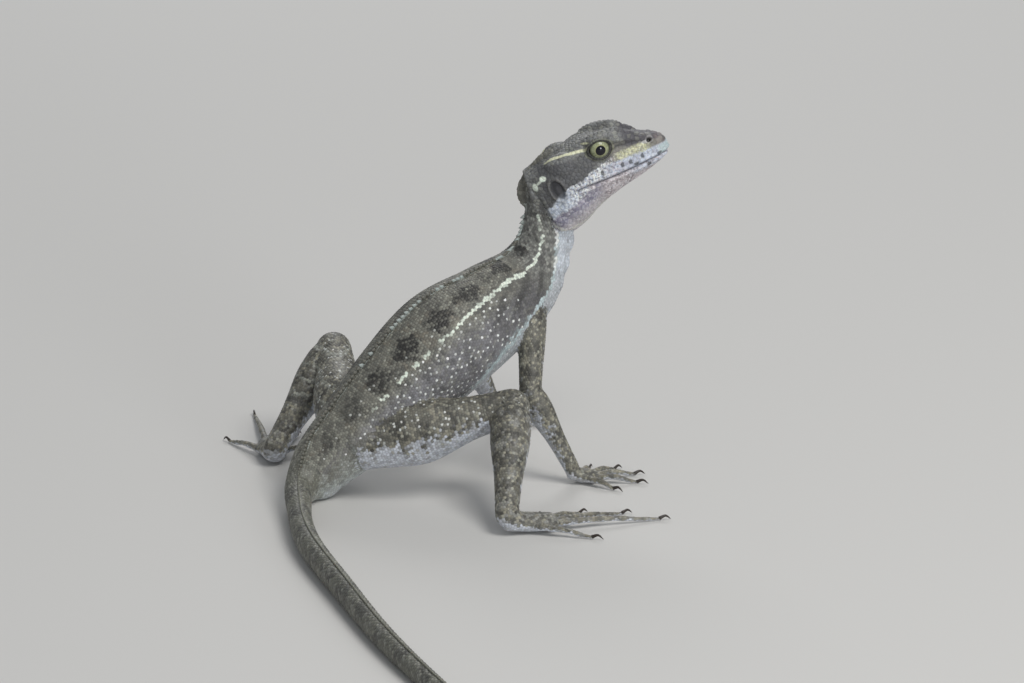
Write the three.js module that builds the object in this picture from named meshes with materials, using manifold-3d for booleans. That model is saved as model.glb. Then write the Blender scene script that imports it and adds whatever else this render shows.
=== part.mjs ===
// A still, life-size striped brown basilisk, a slim long-tailed lizard, with its fore body raised on its arms.
// Millimetres, +Z up. +X is the way the trunk points and +Y is the animal's left.
// The origin is on the floor, at the middle of the small flat under the vent.
import * as THREE from "three";
import { mergeVertices } from "three/addons/utils/BufferGeometryUtils.js";
import Module from "manifold-3d";

const wasm = await Module();
wasm.setup();

// Driving sizes
const GAP = 0.3; // clearance between neighbouring pieces
const TRUNK_WIDE = 32; // widest part of the belly
const HEAD_LONG = 35.5; // head joint to snout tip
const HEAD_WIDE = 17.4; // across the cheeks
const HEAD_PITCH = 17; // degrees that the snout points up
const HEAD_YAW = -24.3; // degrees that the head is turned, to the animal's right
const HEAD_JOINT = [73.9, 0, 78.9];
const EYE = { at: [16.4, 4.9, 8.1], radius: 3.4 };
const THIGH_R = 6.9;
const KNEE_R = 5.1;
const ANKLE_R = 3.2;
const VENT = { at: [0.3, -0.2, 3.4], radii: [6.5, 5.2, 3.75] }; // the swelling that the flat is on
const UPPER_ARM_R = 4.3;
const ELBOW_R = 3.1;
const WRIST_R = 2.2;
const CREST_THICK = 1.7;
const SPINE_CREST_TALL = 1.3; // scales that stand along the backbone

const COLOURS = {
  back: 0x5b5648,
  belly: 0x9aa09c,
  head: 0x55513f,
  jaw: 0xa9a7ab,
  leg: 0x5d594b,
  tail: 0x54524a,
  crest: 0x4d4a3e,
  eye: 0xa9a437,
};

const vec = (p) => new THREE.Vector3(...p);
const mix = (a, b, t) => a + (b - a) * t;
const radians = THREE.MathUtils.degToRad;

// Stations along the body from the tail's tip to the head joint. Each gives its place, half its width (w),
// its height above that place (t) and its depth below it (b).
const TAIL = [
  { at: [-22, -338, 0.5], w: 0.45, t: 0.5, b: 0.55 },
  { at: [-34, -305, 1.0], w: 0.95, t: 1.1, b: 1.15 },
  { at: [-46, -254, 1.5], w: 1.5, t: 1.75, b: 1.75 },
  { at: [-50, -200, 2.1], w: 2.0, t: 2.4, b: 2.4 },
  { at: [-45.7, -150, 2.7], w: 2.45, t: 3.0, b: 3.0 },
  { at: [-40.8, -114, 3.1], w: 2.7, t: 3.4, b: 3.4 },
  { at: [-33.1, -77, 3.5], w: 2.9, t: 3.7, b: 3.8 },
  { at: [-24.4, -40, 3.9], w: 3.1, t: 4.0, b: 4.2 },
  { at: [-15.6, -18.5, 4.4], w: 3.3, t: 4.0, b: 4.65 },
];
const TRUNK = [
  { at: [-7.6, -4.6, 6.2], w: 4.5, t: 4.8, b: 6.4 },
  { at: [0, -0.6, 9.8], w: 8.0, t: 8.0, b: 9.6 },
  { at: [13.1, 0, 18.9], w: 11.4, t: 11.0, b: 11.6 },
  { at: [26.2, 0, 28.3], w: 14.5, t: 13.9, b: 13.8 },
  { at: [40.8, 0, 38.5], w: TRUNK_WIDE / 2, t: 15.4, b: 15.0 },
  { at: [55.7, 0, 46.3], w: 13.6, t: 13.0, b: 13.7 },
  { at: [66.5, 0, 53.2], w: 10.4, t: 10.4, b: 11.0 },
  { at: [72.1, 0, 61.2], w: 7.3, t: 8.3, b: 8.4, yaw: -6 },
  { at: [74.4, 0, 70.0], w: 6.4, t: 7.2, b: 7.6, yaw: -16 },
  { at: [76.0, -0.4, 78.0], w: 6.7, t: 7.6, b: 7.6, yaw: -24 },
  { at: [77.4, -0.8, 84.0], w: 6.0, t: 6.6, b: 6.0, yaw: -24 },
];
const BODY = [...TAIL, ...TRUNK];
const station = (n) => n / (BODY.length - 1);
const CUTS = {
  tail: [0, 1.9, 3.6, 5.2, 6.9, 9].map(station),
  trunk: [9, 11.2, 13.2, 15.35].map(station),
  neck: [15.35, 18.6].map(station),
};

// Head stations, in the head's own frame: +X to the snout, +Z to the crown, and zero at the head joint.
const HEAD = [
  { x: -5.5, w: 5.4, t: 6.4, b: 8.4 },
  { x: -2, w: 7.4, t: 7.5, b: 12.0 },
  { x: 2.5, w: HEAD_WIDE / 2, t: 9.0, b: 14.0 },
  { x: 7.5, w: 8.6, t: 10.3, b: 12.3 },
  { x: 12.5, w: 7.9, t: 11.2, b: 9.2 },
  { x: 17.5, w: 7.1, t: 11.2, b: 7.2 },
  { x: 22, w: 6.1, t: 10.3, b: 5.7 },
  { x: 26, w: 5.2, t: 8.6, b: 4.6 },
  { x: 29.5, w: 4.5, t: 7.2, b: 3.4 },
  { x: 32.5, w: 3.8, t: 6.0, b: 2.1 },
  { x: 34.6, w: 2.8, t: 4.7, b: 0.6 },
  { x: HEAD_LONG, w: 1.2, t: 3.2, b: -0.6 },
];
const MOUTH = { corner: [8.8, -1.6], tip: [HEAD_LONG, -0.1], beyond: 8, depth: 20 };
const NOSTRIL = [30.7, 5.2]; // along and up
const EAR = [2.1, 0.7];
const SNOUT_RISE = 1.7; // the middle of the head's section climbs this far at the snout

// A Catmull-Rom value between stations, u in stations.
function between(values, u) {
  const last = values.length - 1;
  const i = Math.min(Math.floor(u), last - 1);
  const f = u - i;
  const p = (k) => values[Math.max(0, Math.min(last, k))];
  const [a, b, c, d] = [p(i - 1), p(i), p(i + 1), p(i + 2)];
  const slopes = 0.5 * (c - a) * f + (a - 2.5 * b + 2 * c - 0.5 * d) * f * f;
  return b + slopes + (1.5 * (b - c) + 0.5 * (d - a)) * f ** 3;
}

// The body's path with its section at u, from 0 at the tail's tip to 1 at the head.
const bodyPath = new THREE.CatmullRomCurve3(BODY.map((s) => vec(s.at)));
const bodyYaw = BODY.map((s, i) => {
  if (s.yaw !== undefined) return s.yaw;
  const t = bodyPath.getTangent(station(i));
  return i >= TAIL.length + 2 ? 0 : THREE.MathUtils.radToDeg(Math.atan2(t.y, t.x));
});
function bodyAt(u) {
  const n = u * (BODY.length - 1);
  const along = bodyPath.getTangent(u);
  const yaw = radians(between(bodyYaw, n));
  const left = new THREE.Vector3(-Math.sin(yaw), Math.cos(yaw), 0);
  left.addScaledVector(along, -left.dot(along)).normalize();
  const size = (key) => between(BODY.map((s) => s[key]), n);
  return {
    at: bodyPath.getPoint(u),
    left,
    up: new THREE.Vector3().crossVectors(along, left),
    w: size("w"),
    t: size("t"),
    b: size("b"),
  };
}

// A closed tube through sections, given by frameAt(share) for a share from 0 to 1 of its length.
// square is 1 for a round section and less for a boxier one.
function tube(frameAt, steps, sides, grow = 0, square = [1, 1]) {
  const boxy = (v, k) => Math.sign(v) * Math.abs(v) ** k;
  const g = new THREE.CylinderGeometry(1, 1, 1, sides, steps);
  const at = g.attributes.position;
  for (let i = 0; i < at.count; i++) {
    const f = frameAt(0.5 - at.getY(i));
    const k = at.getZ(i) > 0 ? square[0] : square[1];
    const across = boxy(at.getX(i), k) * (f.w + grow);
    const high = boxy(at.getZ(i), k) * ((at.getZ(i) > 0 ? f.t : f.b) + grow);
    const p = f.at.clone().addScaledVector(f.left, across).addScaledVector(f.up, high);
    at.setXYZ(i, p.x, p.y, p.z);
  }
  return solid(g);
}

// A geometry as a closed solid, without the flat triangles that poles leave.
function solid(geometry) {
  const g = geometry.clone();
  for (const name of ["normal", "uv"]) g.deleteAttribute(name);
  const merged = mergeVertices(g, 1e-4);
  const index = [...merged.index.array];
  const kept = [];
  for (let i = 0; i < index.length; i += 3) {
    const [a, b, c] = index.slice(i, i + 3);
    if (a !== b && b !== c && a !== c) kept.push(a, b, c);
  }
  const made = new wasm.Manifold(
    new wasm.Mesh({
      numProp: 3,
      vertProperties: merged.attributes.position.array,
      triVerts: new Uint32Array(kept),
    }),
  );
  return made;
}

const moved = (shape, matrix) => shape.transform(matrix.elements);
const largest = (shape) =>
  shape.decompose().reduce((a, b) => (b.volume() > a.volume() ? b : a));
const aboveFloor = (shape) => shape.trimByPlane([0, 0, 1], 0);

// Keeps the side of a shape that lies along direction from a point, half a gap clear of it.
function keepSide(shape, point, direction, clear = GAP / 2) {
  const n = direction.clone().normalize();
  return shape.trimByPlane(n.toArray(), n.dot(point) + clear);
}

function meshOf(name, shape, colour, roughness = 0.75) {
  const m = largest(shape).getMesh();
  const g = new THREE.BufferGeometry();
  const points = new Float32Array(m.numVert * 3);
  for (let i = 0; i < m.numVert; i++)
    for (let k = 0; k < 3; k++) points[i * 3 + k] = m.vertProperties[i * m.numProp + k];
  g.setAttribute("position", new THREE.BufferAttribute(points, 3));
  g.setIndex(new THREE.BufferAttribute(m.triVerts, 1));
  g.computeVertexNormals();
  const material = new THREE.MeshStandardMaterial({ color: colour, roughness, metalness: 0 });
  const mesh = new THREE.Mesh(g, material);
  mesh.name = name;
  return mesh;
}

// A smooth round ball with its own radii, at a place.
function ball(at, radii, sides = 12, turn = new THREE.Euler()) {
  const g = new THREE.SphereGeometry(1, sides, Math.round(sides / 2));
  g.scale(...radii);
  g.applyMatrix4(new THREE.Matrix4().makeRotationFromEuler(turn).setPosition(...at));
  return solid(g);
}

// A limb segment turned on its own axis, with round ends and a swelling on the way.
function limb(from, to, r0, r1, bulge, bulgeAt, sides = 12) {
  const long = from.distanceTo(to);
  const profile = [];
  const CAP_STEPS = 3;
  const STEPS = 7;
  for (let i = 0; i <= CAP_STEPS; i++) {
    const a = (Math.PI / 2) * (i / CAP_STEPS);
    profile.push(new THREE.Vector2(r0 * Math.sin(a), -r0 * Math.cos(a)));
  }
  for (let i = 1; i < STEPS; i++) {
    const t = i / STEPS;
    const swell = bulge * Math.exp(-(((t - bulgeAt) / 0.26) ** 2));
    profile.push(new THREE.Vector2(mix(r0, r1, t) + swell, t * long));
  }
  for (let i = 0; i <= CAP_STEPS; i++) {
    const a = (Math.PI / 2) * (i / CAP_STEPS);
    profile.push(new THREE.Vector2(r1 * Math.cos(a), long + r1 * Math.sin(a)));
  }
  profile[0].x = 0;
  profile[profile.length - 1].x = 0;
  const g = new THREE.LatheGeometry(profile, sides);
  const axis = to.clone().sub(from).normalize();
  const turn = new THREE.Quaternion().setFromUnitVectors(new THREE.Vector3(0, 1, 0), axis);
  g.applyQuaternion(turn);
  g.translate(from.x, from.y, from.z);
  return solid(g);
}

// Trunk, tail and neck
const bodyTube = (from, to, steps, sides, grow = 0) =>
  tube((s) => bodyAt(mix(from, to, s)), steps, sides, grow);

// Pointed scales along the backbone between two places on the body's path.
function spineCrest(from, to, count, tall) {
  const scales = [];
  for (let i = 0; i < count; i++) {
    const u = mix(from, to, (i + 0.5) / count);
    const f = bodyAt(u);
    const along = bodyPath.getTangent(u);
    const long = (1.1 * bodyPath.getLength() * Math.abs(to - from)) / count;
    const g = new THREE.ConeGeometry(0.62, tall * 2.4, 4, 1);
    const basis = new THREE.Matrix4().makeBasis(f.left, f.up, f.left.clone().cross(f.up));
    g.scale(0.7, 1, Math.min(long, 3.4));
    g.applyMatrix4(basis);
    const root = f.at.clone().addScaledVector(f.up, f.t - 0.2 * tall);
    root.addScaledVector(along, -0.3 * tall);
    g.translate(root.x, root.y, root.z);
    scales.push(solid(g));
  }
  return scales;
}

// Cuts a body tube square to its path at both ends, half a gap short.
function bodyPiece(name, from, to, steps, sides, colour, crest) {
  const pieces = [bodyTube(from, to, steps, sides)];
  if (crest) pieces.push(...spineCrest(...crest));
  if (name === "pelvis") pieces.push(ball(VENT.at, VENT.radii, 14));
  let shape = wasm.Manifold.union(pieces);
  shape = keepSide(shape, bodyAt(from).at, bodyPath.getTangent(from));
  shape = keepSide(shape, bodyAt(to).at, bodyPath.getTangent(to).negate());
  return { name, shape: aboveFloor(shape), colour };
}

const tail = CUTS.tail.slice(1).map((to, i) => {
  const steps = [7, 6, 5, 6, 6][i];
  const sides = [7, 9, 10, 11, 12][i];
  const from = CUTS.tail[i];
  const crest = i > 2 ? [from, to, 9, 0.8] : null;
  return bodyPiece(`tail_${CUTS.tail.length - 1 - i}`, from, to, steps, sides, COLOURS.tail, crest);
});
const trunkNames = ["pelvis", "belly", "chest"];
const trunk = CUTS.trunk.slice(1).map((to, i) => {
  const from = CUTS.trunk[i];
  const crest = [from, to, [8, 9, 10][i], SPINE_CREST_TALL];
  return bodyPiece(trunkNames[i], from, to, 8, 24, COLOURS.back, crest);
});

// Head, built in its own frame
const headPlace = new THREE.Matrix4()
  .makeRotationFromEuler(new THREE.Euler(0, -radians(HEAD_PITCH), radians(HEAD_YAW), "ZYX"))
  .setPosition(...HEAD_JOINT);
const headPath = HEAD.map((s) => s.x);
const headAt = (x) => {
  let n = 0;
  while (n < HEAD.length - 2 && HEAD[n + 1].x < x) n++;
  const u = n + (x - HEAD[n].x) / (HEAD[n + 1].x - HEAD[n].x);
  const size = (key) => between(HEAD.map((s) => s[key]), u);
  const rise = SNOUT_RISE * Math.max(0, x / HEAD_LONG) ** 3;
  return { w: size("w"), t: size("t") - rise, b: size("b") + rise, rise };
};
// Half the head's width at a place along it and a height above its joint.
const HEAD_BOXY = [0.72, 0.9];
const cheek = (x, z) => {
  const f = headAt(x);
  const up = z - f.rise;
  const k = HEAD_BOXY[up > 0 ? 0 : 1];
  return f.w * (1 - Math.abs(up / (up > 0 ? f.t : f.b)) ** (2 / k)) ** (k / 2);
};
function skull(grow = 0) {
  const first = headPath[0];
  return tube(
    (s) => {
      // closer steps toward the snout, where the outline turns fast
      const x = mix(first, HEAD_LONG, Math.sin((s * Math.PI) / 2) * 0.35 + s * 0.65);
      const f = headAt(x);
      return {
        at: new THREE.Vector3(x, 0, f.rise),
        left: new THREE.Vector3(0, 1, 0),
        up: new THREE.Vector3(0, 0, 1),
        ...f,
      };
    },
    18,
    24,
    grow,
    HEAD_BOXY,
  );
}

// The block below the mouth line that becomes the lower jaw, set back by clear on its upper and rear sides.
function jawBlock(clear) {
  const [cx, cz] = MOUTH.corner;
  const [tx, tz] = MOUTH.tip;
  const outline = new THREE.Shape();
  outline.moveTo(cx + clear, cz - clear);
  outline.lineTo(tx + MOUTH.beyond, tz + ((tz - cz) / (tx - cx)) * MOUTH.beyond - clear);
  outline.lineTo(tx + MOUTH.beyond, tz - MOUTH.depth);
  outline.lineTo(cx - 5 + clear, cz - MOUTH.depth);
  const g = new THREE.ExtrudeGeometry(outline, { depth: HEAD_WIDE * 2, bevelEnabled: false });
  g.translate(0, 0, -HEAD_WIDE);
  g.rotateX(Math.PI / 2);
  return solid(g);
}

// Both sides of the head carry the same features.
const bothSides = (make) => [1, -1].flatMap((side) => make(side));
const eyeAt = (side) => [EYE.at[0], side * EYE.at[1], EYE.at[2]];

function headSolids() {
  const whole = skull();
  const lids = bothSides((side) => {
    const ring = new THREE.TorusGeometry(EYE.radius - 0.2, 0.85, 6, 18);
    ring.scale(1.22, 0.95, 1.1);
    ring.rotateX(Math.PI / 2);
    ring.rotateZ(side * radians(-8));
    ring.translate(EYE.at[0] + 0.5, side * (EYE.at[1] + 1.3), EYE.at[2] - 0.2);
    return [solid(ring)];
  });
  const brows = bothSides((side) => {
    const turn = new THREE.Euler(0, radians(4), side * radians(-9));
    return [ball([19.2, side * 4.5, 10.2], [6.0, 2.1, 2.3], 12, turn)];
  });
  const lips = bothSides((side) => {
    const points = [0, 0.25, 0.5, 0.75, 1].map((t) => {
      const x = mix(MOUTH.corner[0], MOUTH.tip[0] - 1.4, t);
      const z = mix(MOUTH.corner[1], MOUTH.tip[1], t) + 0.9;
      return new THREE.Vector3(x, side * (cheek(x, z) - 0.1), z);
    });
    const g = new THREE.ExtrudeGeometry(circle(0.75, 6), {
      steps: 8,
      bevelEnabled: false,
      extrudePath: new THREE.CatmullRomCurve3(points),
    });
    return [solid(g)];
  });
  const rims = bothSides((side) => {
    const ring = new THREE.TorusGeometry(0.85, 0.42, 5, 8);
    ring.rotateX(Math.PI / 2);
    ring.rotateX(side * radians(-30));
    ring.translate(NOSTRIL[0], side * (cheek(NOSTRIL[0], NOSTRIL[1]) - 0.1), NOSTRIL[1]);
    return [solid(ring)];
  });
  const sockets = bothSides((side) => [ball(eyeAt(side), Array(3).fill(EYE.radius + GAP), 16)]);
  const nostrils = bothSides((side) => {
    const at = [NOSTRIL[0], side * cheek(NOSTRIL[0], NOSTRIL[1]), NOSTRIL[1]];
    return [ball(at, [0.65, 1.4, 0.5], 8)];
  });
  const ears = bothSides((side) => {
    const cup = [EAR[0], side * (cheek(EAR[0], EAR[1]) + 0.35), EAR[1]];
    return [ball(cup, [1.75, 1.5, 3.1], 12, new THREE.Euler(0, 0.25, 0))];
  });
  const built = wasm.Manifold.union([whole, ...lids, ...brows, ...lips, ...rims]);
  const carved = built.subtract(wasm.Manifold.union([...sockets, ...nostrils, ...ears]));
  return { skull: carved.subtract(jawBlock(0)), jaw: whole.intersect(jawBlock(GAP)) };
}

function circle(radius, sides) {
  const shape = new THREE.Shape();
  for (let i = 0; i < sides; i++) {
    const a = (i / sides) * Math.PI * 2;
    shape[i ? "lineTo" : "moveTo"](radius * Math.cos(a), radius * Math.sin(a));
  }
  return shape;
}

// The small hood that stands on the back of the head.
function hood() {
  const edge = [
    [11, 10.2],
    [7, 11.4],
    [1.5, 10.3],
    [-3.6, 7.4],
    [-7.9, 3.7],
    [-9.2, 0],
    [-8.2, -3.6],
    [-4.5, -3.8],
  ];
  const outline = new THREE.Shape();
  outline.moveTo(...edge[0]);
  outline.splineThru(edge.slice(1).map((p) => new THREE.Vector2(...p)));
  outline.lineTo(2, 5);
  const g = new THREE.ExtrudeGeometry(outline, {
    depth: CREST_THICK - 1,
    bevelThickness: 0.5,
    bevelSize: 0.5,
    bevelSegments: 1,
    curveSegments: 3,
  });
  g.translate(0, 0, -(CREST_THICK - 1) / 2);
  g.rotateX(Math.PI / 2);
  return solid(g);
}

const { skull: skullShape, jaw: jawShape } = headSolids();
const skullGrown = skull(GAP);
const headGroup = new THREE.Group();
headGroup.applyMatrix4(headPlace);
const neckSpan = [CUTS.neck[0], 1];
const neckGrown = bodyTube(neckSpan[0], neckSpan[1], 8, 20, GAP);
const toHead = headPlace.clone().invert();
const hoodShape = hood().subtract(skullGrown).subtract(moved(neckGrown, toHead));
headGroup.add(
  meshOf("head", skullShape, COLOURS.head, 0.7),
  meshOf("lower_jaw", jawShape, COLOURS.jaw, 0.7),
  meshOf("head_crest", hoodShape, COLOURS.crest, 0.8),
);
for (const [name, side] of [["eye_left", 1], ["eye_right", -1]]) {
  const eye = meshOf(name, ball([0, 0, 0], Array(3).fill(EYE.radius), 16), COLOURS.eye, 0.1);
  eye.position.set(...eyeAt(side));
  headGroup.add(eye);
}

const neck = bodyPiece("neck", CUTS.neck[0], 1, 10, 20, COLOURS.back, [CUTS.neck[0], station(16.9), 6, 1.4]);
neck.shape = neck.shape.subtract(moved(skullGrown, headPlace));

// Legs. Each has its joints, the way its foot points and its toes.
const HIND_TOES = [
  { turn: 46, long: 9, from: 6 },
  { turn: 27, long: 15, from: 11 },
  { turn: 11, long: 23, from: 13 },
  { turn: -3, long: 31, from: 13 },
  { turn: -32, long: 17, from: 7 },
];
const FORE_TOES = [
  { turn: 58, long: 8, from: 3.5 },
  { turn: 31, long: 11.5, from: 5 },
  { turn: 6, long: 14, from: 5.5 },
  { turn: -19, long: 14, from: 5 },
  { turn: -48, long: 10, from: 3.5 },
];
const HIND = { r: [THIGH_R, KNEE_R, ANKLE_R], bulge: [2.3, 1.2], toes: HIND_TOES, palm: [14, 4.1, 2.3] };
const FORE = { r: [UPPER_ARM_R, ELBOW_R, WRIST_R], bulge: [0.3, 0.6], toes: FORE_TOES, palm: [6.5, 3.3, 1.8] };
const LEGS = [
  { name: "hind_right", kind: HIND, side: -1, root: [12, -6, 15], mid: [46.3, -27.5, 26.6], end: [30.5, -52, 5.2], point: -12 },
  { name: "hind_left", kind: HIND, side: 1, root: [12, 6, 15], mid: [26.5, 39.5, 27.6], end: [2, 29.5, 5.2], point: 66 },
  { name: "fore_right", kind: FORE, side: -1, root: [65.5, -6, 48.5], mid: [58, -17.5, 26.5], end: [67, -25, 4.6], point: -16 },
  { name: "fore_left", kind: FORE, side: 1, root: [65.5, 6, 48.5], mid: [59.5, 20, 26.5], end: [73, 27, 4.6], point: 20 },
];
const LEG_NAMES = { hind: ["thigh", "shin", "foot"], fore: ["upper_arm", "forearm", "hand"] };
const TOE = { root: 1.25, tip: 0.62, knuckleUp: 1.5, sink: 0.25 };
const CLAW = { long: 2.4, root: 0.6 };

// A toe that arches a little from its knuckle and lies along the floor, with its claw.
function toe(root, heading, long) {
  const way = new THREE.Vector3(Math.cos(heading), Math.sin(heading), 0);
  const spot = (along, up) => root.clone().addScaledVector(way, along).setZ(up);
  const path = new THREE.CatmullRomCurve3([
    root.clone().addScaledVector(way, -2),
    spot(long * 0.22, root.z + TOE.knuckleUp * 0.3),
    spot(long * 0.55, TOE.root * 1.5),
    spot(long * 0.8, TOE.tip + 0.1 + TOE.sink),
    spot(long, TOE.tip - TOE.sink + 0.15),
  ]);
  const frame = (s) => {
    const along = path.getTangent(s);
    const left = new THREE.Vector3(-way.y, way.x, 0);
    const r = mix(TOE.root, TOE.tip, s);
    return { at: path.getPoint(s), left, up: along.cross(left).normalize(), w: r, t: r, b: r };
  };
  const finger = tube(frame, 7, 7);
  const clawPath = new THREE.CatmullRomCurve3([
    spot(long - 0.8, TOE.tip + 0.1),
    spot(long + CLAW.long * 0.4, TOE.tip + 0.75),
    spot(long + CLAW.long, 0.35),
  ]);
  const clawFrame = (s) => {
    const along = clawPath.getTangent(s);
    const left = new THREE.Vector3(-way.y, way.x, 0);
    const r = mix(CLAW.root, 0.12, s);
    return { at: clawPath.getPoint(s), left, up: along.cross(left).normalize(), w: r * 0.75, t: r, b: r };
  };
  return [finger, tube(clawFrame, 3, 5)];
}

function foot(leg) {
  const { kind, side, end, point } = leg;
  const [long, wide, thick] = kind.palm;
  const heading = radians(point);
  const way = new THREE.Vector3(Math.cos(heading), Math.sin(heading), 0);
  const heel = vec(end);
  const solids = [ball(end, Array(3).fill(kind.r[2]), 12)];
  const sole = (s) => {
    const at = heel.clone().addScaledVector(way, mix(-1.5, long, s));
    at.z = mix(end[2] - 0.6, thick - TOE.sink, Math.sqrt(s));
    const r = mix(kind.r[2] * 0.9, thick, s);
    const spread = mix(kind.r[2], wide, Math.sin(s * Math.PI * 0.62));
    return { at, left: new THREE.Vector3(-way.y, way.x, 0), up: new THREE.Vector3(0, 0, 1), w: spread, t: r, b: r };
  };
  solids.push(tube(sole, 5, 12));
  kind.toes.forEach((t, i) => {
    const turned = heading + side * radians(-t.turn);
    const across = side * mix(-0.72, 0.72, i / (kind.toes.length - 1)) * wide;
    const root = heel.clone().addScaledVector(way, t.from);
    root.addScaledVector(new THREE.Vector3(-way.y, way.x, 0), across).setZ(thick * 0.75);
    solids.push(...toe(root, turned, t.long));
  });
  return wasm.Manifold.union(solids);
}

const trunkGrown = bodyTube(station(8), station(17), 40, 24, GAP);
const legs = LEGS.flatMap((leg) => {
  const [root, mid, end] = [leg.root, leg.mid, leg.end].map(vec);
  const { r, bulge } = leg.kind;
  const first = mid.clone().sub(root).normalize();
  const second = end.clone().sub(mid).normalize();
  const knee = first.clone().add(second);
  const heading = radians(leg.point);
  const ankle = second.clone().add(new THREE.Vector3(Math.cos(heading), Math.sin(heading), 0));
  const upper = keepSide(limb(root, mid, r[0], r[1], bulge[0], 0.35), mid, knee.clone().negate());
  let lower = keepSide(limb(mid, end, r[1], r[2], bulge[1], 0.25), mid, knee);
  lower = keepSide(lower, end, ankle.clone().negate());
  const sole = keepSide(foot(leg), end, ankle);
  const [a, b, c] = LEG_NAMES[leg.name.split("_")[0]];
  const sideName = leg.name.split("_")[1];
  return [
    { name: `${a}_${sideName}`, shape: upper.subtract(trunkGrown), colour: COLOURS.leg },
    { name: `${b}_${sideName}`, shape: aboveFloor(lower).subtract(trunkGrown), colour: COLOURS.leg },
    { name: `${c}_${sideName}`, shape: aboveFloor(sole), colour: COLOURS.leg },
  ];
});

const basilisk = new THREE.Group();
basilisk.name = "striped_brown_basilisk";
for (const { name, shape, colour } of [...tail, ...trunk, neck, ...legs])
  basilisk.add(meshOf(name, shape, colour));
basilisk.add(headGroup);

export default basilisk;
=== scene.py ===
"""Dresses the still model of a striped brown basilisk: one scaled skin, its eyes, claws and back crest."""

import math

import bmesh
import bpy
import numpy as np
from mathutils import Matrix, Vector, kdtree


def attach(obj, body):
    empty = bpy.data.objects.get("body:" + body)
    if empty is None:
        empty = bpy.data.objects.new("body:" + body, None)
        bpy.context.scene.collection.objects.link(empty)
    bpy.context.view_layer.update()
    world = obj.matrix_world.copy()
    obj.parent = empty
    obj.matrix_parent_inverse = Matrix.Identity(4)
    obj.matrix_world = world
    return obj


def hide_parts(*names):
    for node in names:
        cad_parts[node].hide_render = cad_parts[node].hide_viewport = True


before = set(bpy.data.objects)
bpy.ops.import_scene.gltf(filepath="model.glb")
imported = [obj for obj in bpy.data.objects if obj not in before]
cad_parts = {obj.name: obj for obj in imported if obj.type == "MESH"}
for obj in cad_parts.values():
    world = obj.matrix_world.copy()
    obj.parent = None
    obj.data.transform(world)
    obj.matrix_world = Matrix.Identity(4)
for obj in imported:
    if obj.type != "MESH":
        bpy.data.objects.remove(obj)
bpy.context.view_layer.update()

MM = 0.001
VOXEL = 0.465  # mm, before the one subdivision
HEAD_FINER = 1.6  # the head is this much larger while the union is made, so that its mesh is finer
CIRCLE = 2 * math.pi
rng = np.random.default_rng(7)

# Sizes shared with the solids, in millimetres. +X is the trunk's heading, +Y the animal's left, +Z up.
HEAD_PITCH = 17
HEAD_YAW = -24.3
HEAD_JOINT = np.array([73.9, 0, 78.9])
HEAD_LONG = 35.5
EYE_AT = np.array([16.4, 4.9, 8.1])
EYE_R = 3.4
NOSTRIL = (30.7, 5.2)
EAR = (2.1, 0.7)
MOUTH_CORNER = (8.8, -1.0)
MOUTH_TIP = (35.5, 0.3)

# Body stations from the tail's tip to the head: x, y, z, half width, height above, depth below, yaw or None.
BODY = [
    (-22, -338, 0.5, 0.45, 0.5, 0.55, None),
    (-34, -305, 1.0, 0.95, 1.1, 1.15, None),
    (-46, -254, 1.5, 1.5, 1.75, 1.75, None),
    (-50, -200, 2.1, 2.0, 2.4, 2.4, None),
    (-45.7, -150, 2.7, 2.45, 3.0, 3.0, None),
    (-40.8, -114, 3.1, 2.7, 3.4, 3.4, None),
    (-33.1, -77, 3.5, 2.9, 3.7, 3.8, None),
    (-24.4, -40, 3.9, 3.1, 4.0, 4.2, None),
    (-15.6, -18.5, 4.4, 3.3, 4.0, 4.65, None),
    (-7.6, -4.6, 6.2, 4.5, 4.8, 6.4, None),
    (0, -0.6, 9.8, 8.0, 8.0, 9.6, None),
    (13.1, 0, 18.9, 11.4, 11.0, 11.6, 0),
    (26.2, 0, 28.3, 14.5, 13.9, 13.8, 0),
    (40.8, 0, 38.5, 16.0, 15.4, 15.0, 0),
    (55.7, 0, 46.3, 13.6, 13.0, 13.7, 0),
    (66.5, 0, 53.2, 10.4, 10.4, 11.0, 0),
    (72.1, 0, 61.2, 7.3, 8.3, 8.4, -6),
    (74.4, 0, 70.0, 6.4, 7.2, 7.6, -16),
    (76.0, -0.4, 78.0, 6.7, 7.6, 7.6, -24),
    (77.4, -0.8, 84.0, 6.0, 6.6, 6.0, -24),
]
LAST = len(BODY) - 1
VENT, NECK = 10, 15.35

# Head stations: along, half width, height, depth.
HEAD = np.array(
    [(-5.5, 5.4, 6.4, 8.4), (-2, 7.4, 7.5, 12.0), (2.5, 8.7, 9.0, 14.0), (7.5, 8.6, 10.3, 12.3)]
    + [(12.5, 7.9, 11.2, 9.2), (17.5, 7.1, 11.2, 7.2), (22, 6.1, 10.3, 5.7), (26, 5.2, 8.6, 4.6)]
    + [(29.5, 4.5, 7.2, 3.4), (32.5, 3.8, 6.0, 2.1), (34.6, 2.8, 4.7, 0.6), (HEAD_LONG, 1.2, 3.2, -0.6)]
)
SNOUT_RISE = 1.7
HEAD_BOXY = (0.72, 0.9)


def srgb(r, g, b):
    """A colour given as it looks on screen, 0 to 255, in the linear values that shaders read."""
    c = np.array([r, g, b], float) / 255
    return np.where(c <= 0.04045, c / 12.92, ((c + 0.055) / 1.055) ** 2.4)


def smooth(a, b, x):
    """0 below a, 1 above b and a smooth step between them."""
    t = np.clip((x - a) / (b - a), 0, 1)
    return t * t * (3 - 2 * t)


def bump(x, centre, width):
    """1 at the centre, and falling softly to 0 on both sides of it."""
    return np.exp(-(((x - centre) / width) ** 2))


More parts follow.
